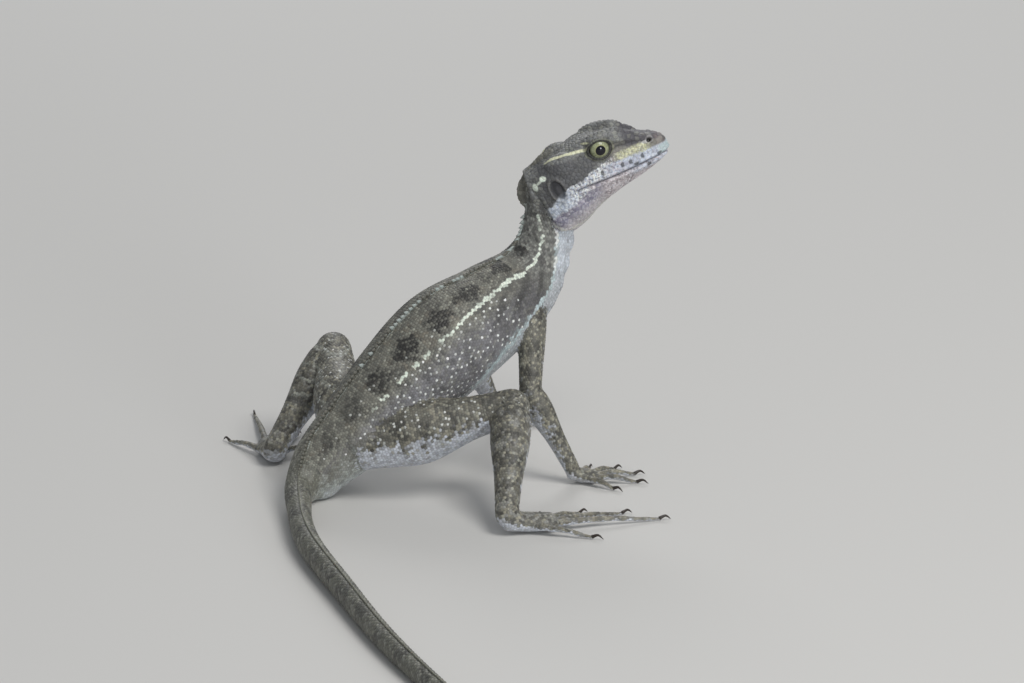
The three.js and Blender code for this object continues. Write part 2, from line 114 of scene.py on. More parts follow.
def between(values, u):
    """Catmull-Rom values between stations, u in stations."""
    v = np.asarray(values, float)
    last = len(v) - 1
    i = np.clip(np.floor(u).astype(int), 0, last - 1)
    f = u - i
    a, b, c, d = (v[np.clip(i + k, 0, last)] for k in (-1, 0, 1, 2))
    slopes = 0.5 * (c - a) * f + (a - 2.5 * b + 2 * c - 0.5 * d) * f * f
    return b + slopes + (1.5 * (b - c) + 0.5 * (d - a)) * f**3


def curve_points(points, t):
    """Points on a centripetal Catmull-Rom curve for t from 0 to 1, as three.js makes it."""
    p = np.asarray(points, float)
    n = len(p)
    x = np.clip(np.asarray(t, float), 0, 1) * (n - 1)
    i = np.clip(np.floor(x).astype(int), 0, n - 2)
    w = (x - i)[:, None]
    before = 2 * p[0] - p[1]
    after = 2 * p[-1] - p[-2]
    q = np.vstack([before, p, after])
    p0, p1, p2, p3 = q[i], q[i + 1], q[i + 2], q[i + 3]
    dt = [np.maximum(((b - a) ** 2).sum(1), 1e-12) ** 0.25 for a, b in ((p0, p1), (p1, p2), (p2, p3))]
    d0, d1, d2 = (d[:, None] for d in dt)
    t1 = ((p1 - p0) / d0 - (p2 - p0) / (d0 + d1) + (p2 - p1) / d1) * d1
    t2 = ((p2 - p1) / d1 - (p3 - p1) / (d1 + d2) + (p3 - p2) / d2) * d1
    return p1 + t1 * w + (-3 * p1 + 3 * p2 - 2 * t1 - t2) * w**2 + (2 * p1 - 2 * p2 + t1 + t2) * w**3


def unit(v):
    """Directions of length 1."""
    v = np.asarray(v, float)
    return v / np.maximum(np.linalg.norm(v, axis=-1, keepdims=True), 1e-12)


class Rings:
    """A part's sections: place, axes, half width, height and depth, and the length s up to each."""

    def __init__(self, at, left, along, w, t, b):
        column = np.ones((len(at), 1))
        self.at, self.along = np.asarray(at, float), unit(column * along)
        left = column * left
        self.left = unit(left - (left * self.along).sum(1, keepdims=True) * self.along)
        self.up = np.cross(self.along, self.left)
        self.w, self.t, self.b = (np.asarray(x, float) * np.ones(len(self.at)) for x in (w, t, b))
        step = np.linalg.norm(np.diff(self.at, axis=0), axis=1)
        self.s = np.concatenate([[0], np.cumsum(step)])

    def surface(self, i, angle, square=(1, 1)):
        """Points on ring i at an angle: 0 is left, a quarter turn is up."""
        c, s = np.cos(angle), np.sin(angle)
        k = np.where(s > 0, square[0], square[1])
        across = np.sign(c) * np.abs(c) ** k * self.w[i]
        high = np.sign(s) * np.abs(s) ** k * np.where(s > 0, self.t[i], self.b[i])
        return self.at[i] + self.left[i] * across[:, None] + self.up[i] * high[:, None]


def body_rings(count):
    """The body's rings, and how far along its stations each is, from 0 to 1."""
    u = np.linspace(0, 1, count)
    places = [s[:3] for s in BODY]

    def ahead(t):
        return curve_points(places, np.minimum(t + 1e-4, 1)) - curve_points(places, np.maximum(t - 1e-4, 0))

    ways = ahead(np.arange(len(BODY)) / LAST)
    yaws = [math.degrees(math.atan2(h[1], h[0])) if s[6] is None else s[6] for s, h in zip(BODY, ways)]
    yaw = np.radians(between(yaws, u * LAST))
    left = np.stack([-np.sin(yaw), np.cos(yaw), np.zeros(count)], 1)
    sizes = [between([s[k] for s in BODY], u * LAST) for k in (3, 4, 5)]
    return Rings(curve_points(places, u), left, ahead(u), *sizes), u


def head_sizes(x):
    """The head's half width, height, depth and middle's rise at places along it."""
    n = np.clip(np.searchsorted(HEAD[:, 0], x, side="right") - 1, 0, len(HEAD) - 2)
    u = n + (x - HEAD[n, 0]) / (HEAD[n + 1, 0] - HEAD[n, 0])
    w, t, b = (between(HEAD[:, k], u) for k in (1, 2, 3))
    rise = SNOUT_RISE * np.maximum(0, x / HEAD_LONG) ** 3
    return w, t - rise, b + rise, rise


def cheek(x, z):
    """Half the head's width at a place along it and a height."""
    w, t, b, rise = head_sizes(np.asarray(x, float))
    up = np.asarray(z, float) - rise
    k = np.where(up > 0, HEAD_BOXY[0], HEAD_BOXY[1])
    part = np.abs(up / np.where(up > 0, t, b))
    return w * np.maximum(0, 1 - np.minimum(part, 1) ** (2 / k)) ** (k / 2)


pitch, yaw = math.radians(HEAD_PITCH), math.radians(HEAD_YAW)
HEAD_X = np.array([math.cos(pitch) * math.cos(yaw), math.cos(pitch) * math.sin(yaw), math.sin(pitch)])
HEAD_Y = np.array([-math.sin(yaw), math.cos(yaw), 0])
HEAD_AXES = np.stack([HEAD_X, HEAD_Y, np.cross(HEAD_X, HEAD_Y)])


def to_world(p):
    """Places in the head's frame, in the world's."""
    return np.asarray(p, float) @ HEAD_AXES + HEAD_JOINT


def to_head(p):
    """Places in the world, in the head's frame."""
    return (np.asarray(p, float) - HEAD_JOINT) @ HEAD_AXES.T


NECK_WAY = unit([1, -0.4, 1])


def head_growth(p):
    """How much larger a place is made for the union: 1 on the trunk, and more toward the head."""
    return 1 + (HEAD_FINER - 1) * smooth(-16, 4, (p - HEAD_JOINT) @ NECK_WAY)[:, None]


def enlarged(p):
    """Places moved away from the neck by head_growth, so that the union is finer on the head."""
    return HEAD_JOINT + (p - HEAD_JOINT) * head_growth(p)


def brought_back(p):
    """Undoes enlarged(), by steps that settle on the place it came from."""
    q = p.copy()
    for _ in range(24):
        q = HEAD_JOINT + (p - HEAD_JOINT) / head_growth(q)
    return q


PARTS = {}  # part number to its Rings
heap_points, heap_faces, heap_tags = [], [], []


def add_mesh(points, faces, part, ring):
    """Adds a closed mesh to the union, each vertex with the part and ring that it came from."""
    start = sum(len(p) for p in heap_points)
    heap_points.append(points)
    heap_faces.extend([int(v) + start for v in f] for f in faces)
    heap_tags.append(np.stack([np.full(len(points), part), ring], 1))


def ring_places(count, sides):
    """Each point's ring and its angle round it, ring by ring."""
    return np.repeat(np.arange(count), sides), np.tile(np.arange(sides) * CIRCLE / sides, count)


def ring_faces(count, sides, first=0):
    """The faces between rings of points, numbered ring by ring."""
    faces = []
    for start in range(first, first + (count - 1) * sides, sides):
        for a in range(sides):
            b = (a + 1) % sides
            faces.append((start + a, start + b, start + sides + b, start + sides + a))
    return faces


def add_tube(part, rings, sides, square=(1, 1)):
    """A closed tube over all the rings of a part."""
    n = len(rings.at)
    i, angle = ring_places(n, sides)
    points = np.vstack([rings.surface(i, angle, square), rings.at[:1], rings.at[-1:]])
    faces = ring_faces(n, sides)
    for a in range(sides):
        b = (a + 1) % sides
        faces.append((n * sides, b, a))
        faces.append((n * sides + 1, (n - 1) * sides + a, (n - 1) * sides + b))
    PARTS.setdefault(part, rings)
    add_mesh(points, faces, part, np.concatenate([i, [0, n - 1]]))


def add_ball(part, ring, at, radii, axes=np.eye(3)):
    """A closed ball with its own radii along axes."""
    made = bmesh.new()
    bmesh.ops.create_uvsphere(made, u_segments=20, v_segments=10, radius=1)
    points = np.array([v.co[:] for v in made.verts]) * np.asarray(radii) @ axes
    faces = [[v.index for v in f.verts] for f in made.faces]
    made.free()
    add_mesh(points + at, faces, part, np.full(len(points), ring))


# Part numbers: a leg has two, and its foot has ten, with the toes after the palm
TRUNK, HEAD_PART, CREST = 0, 1, 2
LEG_BASE, FORE_BASE, TOE_BASE, FINGER_BASE = 10, 14, 100, 120

body, body_u = body_rings(420)
add_tube(TRUNK, body, 56)


def station_ring(station):
    """The body's ring nearest a station."""
    return int(np.argmin(abs(body_u - station / LAST)))


vent_ring = station_ring(VENT)
vent_s = body.s[vent_ring]
neck_start = body.s[station_ring(NECK)]
add_ball(TRUNK, vent_ring, [0.3, -0.2, 3.4], [6.5, 5.2, 3.75])
# the muscles over the hips and the shoulder blades
for side in (1, -1):
    add_ball(TRUNK, station_ring(11.2), [13.5, side * 7.5, 17.6], [9.5, 5.6, 6.4])
    add_ball(TRUNK, station_ring(14.9), [64.3, side * 7.0, 50.5], [6.0, 4.2, 7.0])

# Head
head_x = np.concatenate([np.linspace(-5.5, 30, 72), np.linspace(30.4, HEAD_LONG, 22)])
*head_girths, rise = head_sizes(head_x)
spine = np.stack([head_x, 0 * head_x, rise], 1)
add_tube(HEAD_PART, Rings(to_world(spine), HEAD_Y, HEAD_X, *head_girths), 72, HEAD_BOXY)

# Swellings on both sides of the head: place, radii, and how far each is tilted and turned in degrees
LID_R = EYE_R + 0.55
SWELLINGS = [
    (EYE_AT, (LID_R, LID_R, LID_R), 0, 0),
    ((18.6, 4.5, 10.2), (6.4, 2.2, 2.3), 3, -9),
    ((12.2, 4.0, 9.3), (5.5, 2.1, 1.9), -12, -6),
    ((22.2, 3.9, 8.9), (6.6, 1.9, 2.0), 17, -12),
    ((24.2, 3.2, 7.2), (7.0, 1.8, 1.3), 14, -12),
    ((4.6, 6.4, -5.6), (5.4, 2.9, 4.4), 0, 0),
    ((1.2, 5.9, -8.6), (3.6, 3.1, 3.2), 0, 0),
    ((5.5, 5.3, 5.6), (5.6, 3.6, 4.4), 0, 0),
]
for at, radii, tilt, turn in SWELLINGS:
    for side in (1, -1):
        tilted = Matrix.Rotation(math.radians(tilt), 3, "Y")
        turned = Matrix.Rotation(side * math.radians(turn), 3, "Z") @ tilted
        axes = np.array(turned.transposed()) @ HEAD_AXES
        ring = int(np.argmin(abs(head_x - at[0])))
        add_ball(HEAD_PART, ring, to_world([at[0], side * at[1], at[2]]), radii, axes)


def add_crest():
    """The small hood on the back of the head, thin toward its edge."""
    edge = [(11, 9.4), (7, 10.9), (1.5, 10.3), (-3.6, 7.4)]
    edge += [(-7.9, 3.7), (-9.2, 0), (-8.2, -3.6), (-4.5, -3.8)]
    outer = curve_points([(x, 0, z) for x, z in edge], np.linspace(0, 1, 44))
    core = np.array([2.5, 0, 1.5])
    layers = [(0.0, 1.9), (0.55, 1.1), (0.85, 0.75), (0.97, 0.3)]

    def sheet(share, thick):
        p = core + (outer - core) * share
        p[:, 1] = thick
        return p

    strips = [sheet(share, thick) for share, thick in layers] + [outer]
    strips += [sheet(share, -thick) for share, thick in reversed(layers)]
    n = len(outer)
    verts = np.vstack(strips)
    faces = []
    for row in range(len(strips)):
        nxt = (row + 1) % len(strips)
        for i in range(n - 1):
            faces.append((row * n + i, row * n + i + 1, nxt * n + i + 1, nxt * n + i))
    faces.append([row * n for row in range(len(strips))])
    faces.append([row * n + n - 1 for row in reversed(range(len(strips)))])
    add_mesh(to_world(verts), faces, CREST, np.zeros(len(verts)))


add_crest()

# Legs. "r" is the radius at each joint, and "bulge" how far the muscle of each segment swells, and where.
# "palm" is the foot's length, half width and height, and "toes" each toe's turn in degrees, length and root.
HIND = {
    "r": (6.9, 5.1, 3.2),
    "bulge": ((2.3, 0.38), (1.6, 0.3)),
    "palm": (14, 4.1, 2.3),
    "toes": [(46, 9, 6), (27, 15, 11), (11, 23, 13), (-3, 31, 13), (-32, 17, 7)],
}
FORE = {
    "r": (4.3, 3.1, 2.2),
    "bulge": ((0.5, 0.4), (0.8, 0.25)),
    "palm": (6.5, 3.3, 1.8),
    "toes": [(58, 8, 3.5), (31, 11.5, 5), (6, 14, 5.5), (-19, 14, 5), (-48, 10, 3.5)],
}
# Each leg's kind and side, its root, middle and end joints, and the way the foot points, in degrees
LEGS = [
    (HIND, -1, (12, -6, 15), (46.3, -27.5, 26.6), (30.5, -52, 5.2), -12),
    (HIND, 1, (12, 6, 15), (26.5, 39.5, 27.6), (2, 29.5, 5.2), 66),
    (FORE, -1, (65.5, -6, 48.5), (58, -17.5, 26.5), (67, -25, 4.6), -16),
    (FORE, 1, (65.5, 6, 48.5), (59.5, 20, 26.5), (73, 27, 4.6), 20),
]
TOE_ROOT, TOE_TIP, SINK = 1.25, 0.62, 0.25
claws = []


def level_way(turn):
    """A level direction and the one across it, for a turn in radians."""
    way = np.array([math.cos(turn), math.sin(turn), 0])
    return way, np.array([-way[1], way[0], 0])


def ahead_of(root, way, along, up):
    p = root + way * along
    return (p[0], p[1], up)


def add_limb(part, joints, kind):
    """Two segments with round ends, each swelling where its muscle is."""
    for k, (swell, place) in enumerate(kind["bulge"]):
        p, q = np.array(joints[k : k + 2], float)
        ra, rb = kind["r"][k : k + 2]
        axis = unit(q - p)
        length = np.linalg.norm(q - p)
        caps = np.linspace(0, math.pi / 2, 7)[:-1]
        x = np.concatenate([-ra * np.cos(caps), np.linspace(0, length, 34), length + rb * np.sin(caps[1:])])
        share = np.clip(x / length, 0, 1)
        r = ra + (rb - ra) * share + swell * bump(share, place, 0.26) * smooth(0, 0.12, share)
        r[: len(caps)] = np.maximum(ra * np.sin(caps), 0.05)
        r[len(caps) + 34 :] = rb * np.cos(caps[1:])
        across = np.cross(axis, [0, 0, 1])
        flat = 1 + 0.1 * bump(share, place, 0.3)
        add_tube(part + k, Rings(p + axis * x[:, None], across, axis, r / flat, r * flat, r), 30)


def add_toe(part, root, heading, length):
    way, across = level_way(heading)
    path = [
        tuple(root - way * 2),
        ahead_of(root, way, length * 0.22, root[2] + 0.45),
        ahead_of(root, way, length * 0.55, TOE_ROOT * 1.5),
        ahead_of(root, way, length * 0.8, TOE_TIP + 0.1 + SINK),
        ahead_of(root, way, length, TOE_TIP - SINK + 0.15),
    ]
    s = np.linspace(0, 1, 44)
    at = curve_points(path, s)
    joints = max(2, int(round(length / 6.5)))
    knuckle = 0.09 * np.maximum(0, np.cos(s * joints * CIRCLE)) ** 2
    r = (TOE_ROOT + (TOE_TIP - TOE_ROOT) * s) * (0.96 + knuckle)
    r[-3:] *= (0.9, 0.68, 0.3)
    add_tube(part, Rings(at, across, np.gradient(at, axis=0), r, r * 0.95, r * 0.95), 14)
    claws.append((root.copy(), way, length))


def add_foot(part, kind, side, heel, turn):
    long, wide, thick = kind["palm"]
    ankle = kind["r"][2]
    way, across = level_way(turn)
    s = np.linspace(0, 1, 26)
    at = heel + way * (-1.5 + (long + 1.5) * s)[:, None]
    at[:, 2] = heel[2] - 0.6 + (thick - SINK - heel[2] + 0.6) * np.sqrt(s)
    r = ankle * 0.9 + (thick - ankle * 0.9) * s
    spread = ankle + (wide - ankle) * np.sin(s * math.pi * 0.62)
    ends = np.ones(26)
    ends[0], ends[-1] = 0.6, 0.75
    add_tube(part, Rings(at, across, way, spread * ends, r * ends, r * ends), 28)
    add_ball(part, 1, heel, [ankle] * 3)
    count = len(kind["toes"])
    for i, (toe_turn, length, start) in enumerate(kind["toes"]):
        shift = side * (-0.72 + 1.44 * i / (count - 1)) * wide
        root = heel + way * start + across * shift
        root[2] = thick * 0.75
        add_toe(part + 1 + i, root, turn + side * math.radians(-toe_turn), length)


for index, (kind, side, *joints, point) in enumerate(LEGS):
    add_limb(LEG_BASE + index * 2, joints, kind)
    add_foot(TOE_BASE + index * 10, kind, side, np.array(joints[2], float), math.radians(point))

source = np.vstack(heap_points)
source_tags = np.vstack(heap_tags).astype(int)


def mesh_object(name, points, faces):
    """An object from points in millimetres."""
    mesh = bpy.data.meshes.new(name)
    mesh.from_pydata((np.asarray(points) * MM).tolist(), [], [tuple(f) for f in faces])
    mesh.validate()
    made = bpy.data.objects.new(name, mesh)
    bpy.context.scene.collection.objects.link(made)
    return made


def applied(obj):
    """Replaces an object's mesh by what its modifiers make of it."""
    graph = bpy.context.evaluated_depsgraph_get()
    done = obj.evaluated_get(graph)
    made = bpy.data.meshes.new_from_object(done, preserve_all_data_layers=True, depsgraph=graph)
    old = obj.data
    obj.modifiers.clear()
    obj.data = made
    bpy.data.meshes.remove(old)


skin = mesh_object("scaled_skin", enlarged(source), heap_faces)
union = skin.modifiers.new("union", "REMESH")
union.mode = "VOXEL"
union.voxel_size = VOXEL * MM
union.adaptivity = 0
union.use_smooth_shade = True
blend = skin.modifiers.new("blend", "SMOOTH")
blend.factor = 0.5
blend.iterations = 7
applied(skin)


def vectors(mesh, name):
    """Each vertex's place or normal, as Blender keeps it."""
    read = np.empty(len(mesh.vertices) * 3)
    mesh.vertices.foreach_get(name, read)
    return read.reshape(-1, 3)


def get_points(mesh):
    return vectors(mesh, "co") / MM


def set_points(mesh, co):
    mesh.vertices.foreach_set("co", (co * MM).ravel())
    mesh.update()


def keep_largest(obj):
    """Drops loose scraps that the union left."""
    made = bmesh.new()
    made.from_mesh(obj.data)
    left = set(made.verts)
    groups = []
    while left:
        group = set()
        found = [left.pop()]
        while found:
            v = found.pop()
            group.add(v)
            near = {e.other_vert(v) for e in v.link_edges} & left
            left -= near
            found.extend(near)
        groups.append(group)
    if len(groups) > 1:
        largest = max(groups, key=len)
        loose = [v for v in made.verts if v not in largest]
        bmesh.ops.delete(made, geom=loose, context="VERTS")
        made.to_mesh(obj.data)
    made.free()


keep_largest(skin)
set_points(skin.data, brought_back(get_points(skin.data)))
finer = skin.modifiers.new("finer", "SUBSURF")
finer.levels = finer.render_levels = 1
finer.quality = 1
finer.use_limit_surface = False
applied(skin)


def unwrap(obj):
    """A UV map for baking, made before the scales so that its islands stay large."""
    bpy.context.view_layer.objects.active = obj
    for o in bpy.context.selected_objects:
        o.select_set(False)
    obj.select_set(True)
    obj.data.uv_layers.new(name="OFBake")
    bpy.ops.object.mode_set(mode="EDIT")
    bpy.ops.mesh.select_all(action="SELECT")
    bpy.ops.uv.smart_project(angle_limit=math.radians(66), island_margin=0.0005)
    bpy.ops.object.mode_set(mode="OBJECT")


unwrap(skin)
mesh = skin.data
points = get_points(mesh)
count = len(points)


def tree_of(places, numbers=None):
    """A search tree of places, each with its number."""
    made = kdtree.KDTree(len(places))
    for i, p in enumerate(places):
        made.insert(p, i if numbers is None else int(numbers[i]))
    made.balance()
    return made


# Each vertex's part, with its length along the part, its angle round it and the part's girth there
tree = tree_of(source)
nearest = np.fromiter((tree.find(p)[1] for p in points), int, count)
part, ring = source_tags[nearest].T
along_s = np.zeros(count)
angle = np.zeros(count)
girth = np.ones(count)
for k, rings in PARTS.items():
    m = part == k
    i = ring[m]
    d = points[m] - rings.at[i]
    along_s[m] = rings.s[i] + (d * rings.along[i]).sum(1)
    angle[m] = np.arctan2((d * rings.up[i]).sum(1), (d * rings.left[i]).sum(1))
    girth[m] = 0.5 * (rings.w[i] + 0.5 * (rings.t[i] + rings.b[i]))
on_head = (part == HEAD_PART) | (part == CREST)
on_trunk = part == TRUNK


def mouth_curve(x):
    """The height of the line between the lips."""
    share = np.clip((x - MOUTH_CORNER[0]) / (MOUTH_TIP[0] - MOUTH_CORNER[0]), 0, 1.05)
    straight = MOUTH_CORNER[1] + (MOUTH_TIP[1] - MOUTH_CORNER[1]) * share
    return straight - 0.4 * np.sin(math.pi * np.clip(share, 0, 1)) ** 1.5


def moved(points, normals, by):
    """Points pushed out along their normals, each by its own amount in mm."""
    return points + normals * by[:, None]


# The head's own forms, worked in its own frame. What moves out is added, and what sinks in is taken off.
normals = vectors(mesh, "normal")
hx, hy, hz = to_head(points).T
ay = np.abs(hy)
mouth_z = mouth_curve(hx) - 1.1 * smooth(MOUTH_CORNER[0], MOUTH_CORNER[0] - 3.4, hx)
over_mouth = hz - mouth_z
mouth_on = on_head * smooth(MOUTH_CORNER[0] - 3.4, MOUTH_CORNER[0] - 0.6, hx)
lip_on = mouth_on * smooth(7.4, 9.4, hx) * (ay > 0.4)
move = 0.34 * lip_on * (bump(over_mouth, 0.95, 0.62) + 0.85 * bump(over_mouth, -0.95, 0.62))
move -= 0.62 * mouth_on * bump(over_mouth, 0, 0.27)
# the ridge from the brow to the nostril, and the dished side of the snout under it
ridge = bump(hz, 8.6 - 0.34 * (hx - 22), 0.55) * smooth(20, 23, hx) * (1 - smooth(29, 31, hx))
move += 0.28 * on_head * ridge
move -= 0.35 * on_head * bump(hx, 25.5, 3.4) * bump(hz, 4.6, 1.5) * (ay > 2)
# the folded skin behind the jaw, and pleats of the throat
behind = on_head * (ay > 3)
move -= 0.55 * behind * bump(hx + 0.25 * (hz + 6), -2.4, 0.5) * smooth(3.5, 0.5, hz) * smooth(-13, -10.5, hz)
throat = on_head * smooth(-5.5, -8.5, hz + 0.42 * (hx - 12))
move += 0.16 * throat * np.cos(hy * 2.6) * smooth(20, 15, hx)
# a valley between the brows
move -= 0.5 * on_head * bump(hx, 18.5, 4.2) * bump(hy, 0, 1.5) * (hz > 7)
points = moved(points, normals, move)

# Nostrils and ears
hx, hy, hz = to_head(points).T
ay = np.abs(hy)
near_nostril = np.hypot((hx - NOSTRIL[0]) / 0.72, (hz - NOSTRIL[1]) / 0.52) + 5 * (ay < 1.2)
nostril_in = on_head * (1 - smooth(0.75, 1.15, near_nostril))
rim = on_head * bump(near_nostril, 1.65, 0.5)
move = 0.26 * rim - 1.0 * nostril_in
lean = math.radians(14)
ex = (hx - EAR[0]) * math.cos(lean) + (hz - EAR[1]) * math.sin(lean)
ez = (hz - EAR[1]) * math.cos(lean) - (hx - EAR[0]) * math.sin(lean)
near_ear = np.hypot(ex / 1.75, ez / 3.0) + 5 * (ay < 3)
ear_in = on_head * (1 - smooth(0.8, 1.05, near_ear))
move += on_head * (0.3 * bump(near_ear, 1.22, 0.2)) - 0.85 * ear_in
points = moved(points, normals, move)

# Lids: a shell over the eyeball, open at the front, with its edge rolled out.
EYE_OUT = unit([0.13, 0.985, -0.06])
LID_WIDE, LID_TALL = math.radians(52), math.radians(44)
local = to_head(points)
eye_from = np.stack([local[:, 0], np.abs(local[:, 1]), local[:, 2]], 1) - EYE_AT
eye_r = np.linalg.norm(eye_from, axis=1)
eye_dir = unit(eye_from)
fore = unit(np.cross(np.cross(EYE_OUT, [1, 0, -0.1]), EYE_OUT))
high = np.cross(EYE_OUT, fore)
high = high * np.sign(high[2])
lean = np.arccos(np.clip(eye_dir @ EYE_OUT, -1, 1))
px, pz = eye_dir @ fore, eye_dir @ high
round_eye = np.arctan2(pz, px)


def lid_reach(turn):
    """How far from the eye's middle the lids' edge is, as an angle."""
    return 1 / np.hypot(np.cos(turn) / LID_WIDE, np.sin(turn) / LID_TALL)


# the corners of the lids run out to points
reach = lid_reach(round_eye) * (1 + 0.2 * np.abs(np.cos(round_eye)) ** 8)
gape = lean / reach
near_eye = on_head & (eye_r < EYE_R + 3.2) & (lean < math.radians(112))
hole = near_eye * (1 - smooth(0.93, 1.02, gape))
target = np.where(hole > 0.5, EYE_R - 0.55, np.maximum(eye_r, LID_R))
edge = near_eye * bump(gape, 1.12, 0.09)
folds = near_eye * (gape > 1.15) * (gape < 2.0)
target = target + 0.16 * edge + 0.1 * folds * np.cos((gape - 1.12) * 22)
pull = near_eye * np.where(hole > 0.5, 1.0, 1 - smooth(1.5, 2.2, gape))
world_dir = np.stack([eye_dir[:, 0], eye_dir[:, 1] * np.sign(local[:, 1]), eye_dir[:, 2]], 1) @ HEAD_AXES
points = moved(points, world_dir, (target - eye_r) * pull)
set_points(mesh, points)

# Skin folds where the neck bends and where the limbs meet the trunk
normals = vectors(mesh, "normal")
from_neck = along_s - neck_start
ventral = smooth(0.35, -0.75, np.sin(angle))
creases = on_trunk * bump(from_neck, 8, 9) * ventral
move = 0.34 * creases * np.sin(from_neck * 1.35 + 2.2 * np.sin(angle * 2)) * smooth(-14, -4, from_neck)
ribs = on_trunk * smooth(vent_s + 14, vent_s + 34, along_s) * smooth(-2, -22, from_neck)
ribs = ribs * smooth(0.75, 0.2, abs(np.sin(angle) + 0.15))
move += 0.12 * ribs * np.sin(along_s * 1.05 + 1.4 * np.cos(angle))
points = moved(points, normals, move)
set_points(mesh, points)
normals = vectors(mesh, "normal")

# Scale centres. Each has a place, a size, the way it points, how high it stands and a keel.
seeds = {"at": [], "size": [], "way": [], "tall": [], "keel": [], "flat": []}


def seed(at, size, way, tall, keel, flat=0.0):
    """Notes scale centres; a value may be one for all or one for each."""
    n = len(at)
    for key, value in (("size", size), ("tall", tall), ("keel", keel), ("flat", flat)):
        seeds[key].append(np.ones(n) * value)
    seeds["at"].append(np.asarray(at, float))
    seeds["way"].append(unit(np.asarray(way, float) * np.ones((n, 3))))


def rows(rings, size_at, tall, keel):
    """Scales in staggered rows round a part; size_at gives their size at a length along it."""
    s = 0.0
    odd = 0
    while s < rings.s[-1]:
        i = int(np.clip(np.searchsorted(rings.s, s), 0, len(rings.s) - 1))
        round_it = math.pi * (rings.w[i] + 0.5 * (rings.t[i] + rings.b[i]))
        size = float(size_at(s))
        n = max(5, int(round(round_it / size)))
        angles = (np.arange(n) + 0.5 * (odd % 2)) * CIRCLE / n - math.pi
        angles = angles + rng.normal(0, 0.11, n) * size / round_it * CIRCLE
        p = rings.surface(np.full(n, i), angles)
        p = p + rings.along[i] * ((s - rings.s[i]) + rng.normal(0, 0.1, n) * size)[:, None]
        seed(p, size, -rings.along[i], tall, keel)
        s += size * 0.87
        odd += 1


def body_scale(s):
    """The size of scales at a length along the body, smaller toward the tail's tip."""
    tail_grow = 1 - smooth(vent_s - 60, vent_s + 5, s)
    return (0.9 + 0.25 * tail_grow) * (0.66 + 0.34 * smooth(0, 90, s))


rows(body, body_scale, 0.13, 0.55)
trunk_scales = sum(len(a) for a in seeds["at"])
for k, rings in PARTS.items():
    if LEG_BASE <= k < TOE_BASE:
        rows(rings, lambda s, size=0.88 if k < FORE_BASE else 0.78: size, 0.12, 0.5)
    elif k >= TOE_BASE and k % 10 == 0:
        rows(rings, lambda s: 0.9, 0.11, 0.3)
    elif k >= TOE_BASE:
        rows(rings, lambda s: 0.8, 0.1, 0.1)

# Head scales: blue noise over the head, larger on the snout and jaws, with rows of plates along the lips.
head_verts = np.flatnonzero(on_head)
order = rng.permutation(head_verts)
local = to_head(points)
head_tree = tree_of(local[head_verts], head_verts)
CELL = 1.4
AROUND = list(np.ndindex(3, 3, 3))
grid = {}


def cell_key(p):
    return tuple(int(math.floor(c / CELL)) for c in p)


def put(p, size):
    """Notes a head scale in its cell of the grid."""
    grid.setdefault(cell_key(p), []).append((p, size))


def is_free(p, size):
    """Whether a head scale here would clear the ones already put."""
    x, y, z = cell_key(p)
    for a, b, c in AROUND:
        for q, other in grid.get((x + a - 1, y + b - 1, z + c - 1), ()):
            if (p[0] - q[0]) ** 2 + (p[1] - q[1]) ** 2 + (p[2] - q[2]) ** 2 < (0.5 * (size + other)) ** 2:
                return False
    return True


def add_plate(x, y, z, size, tall):
    """A plate at the skin's nearest point to a place in the head's frame."""
    plates.append((tuple(head_tree.find((x, y, z))[0]), size, tall))


# Rows of plates along the lips: how far over the mouth line, the plates' size and how high they stand
LIP_ROWS = [(0.85, 1.75, 0.16), (-0.85, 1.75, 0.16), (2.15, 1.2, 0.13), (-2.1, 1.25, 0.13)]
plates = []
for side in (1, -1):
    for row, (over, size, tall) in enumerate(LIP_ROWS):
        x = 7.6 + 0.4 * row
        while x < 34.6:
            z = float(mouth_curve(x)) + over
            add_plate(x, side * float(cheek(x, z)), z, size, tall)
            x += size * (0.95 + 0.1 * rng.random())
    # scales that overhang the eye, and the raised row on the lid's edge
    for k in range(11):
        x = 13.2 + 1.22 * k
        z = 12.2 - 0.012 * (x - 17) ** 2 - 0.1 * max(0, x - 20)
        add_plate(x, side * (6.0 - 0.12 * (x - 13)), z, 1.2, 0.2)
    for a in np.arange(22) * CIRCLE / 22:
        r = 1.2 * lid_reach(a)
        d = EYE_OUT * math.cos(r) + (fore * math.cos(a) + high * math.sin(a)) * math.sin(r)
        p = EYE_AT + d * LID_R
        add_plate(p[0], side * p[1], p[2], 0.85, 0.1)
for p, size, tall in plates:
    put(p, size)
plate_at, plate_size, plate_tall = (np.array(column) for column in zip(*plates))
seed(to_world(plate_at), plate_size, -HEAD_X, plate_tall, 0.0, 0.6)
spots = []
for i in order[: len(order)]:
    p = tuple(local[i])
    size = 0.95 + 0.35 * float(smooth(20, 29, p[0])) * (p[2] > 3) + 0.1 * (p[2] < -3)
    if is_free(p, size):
        put(p, size)
        spots.append((p, size))
spot_at = np.array([p for p, _ in spots])
seed(to_world(spot_at), np.array([q for _, q in spots]), -HEAD_X, 0.12, 0.15, 0.35)

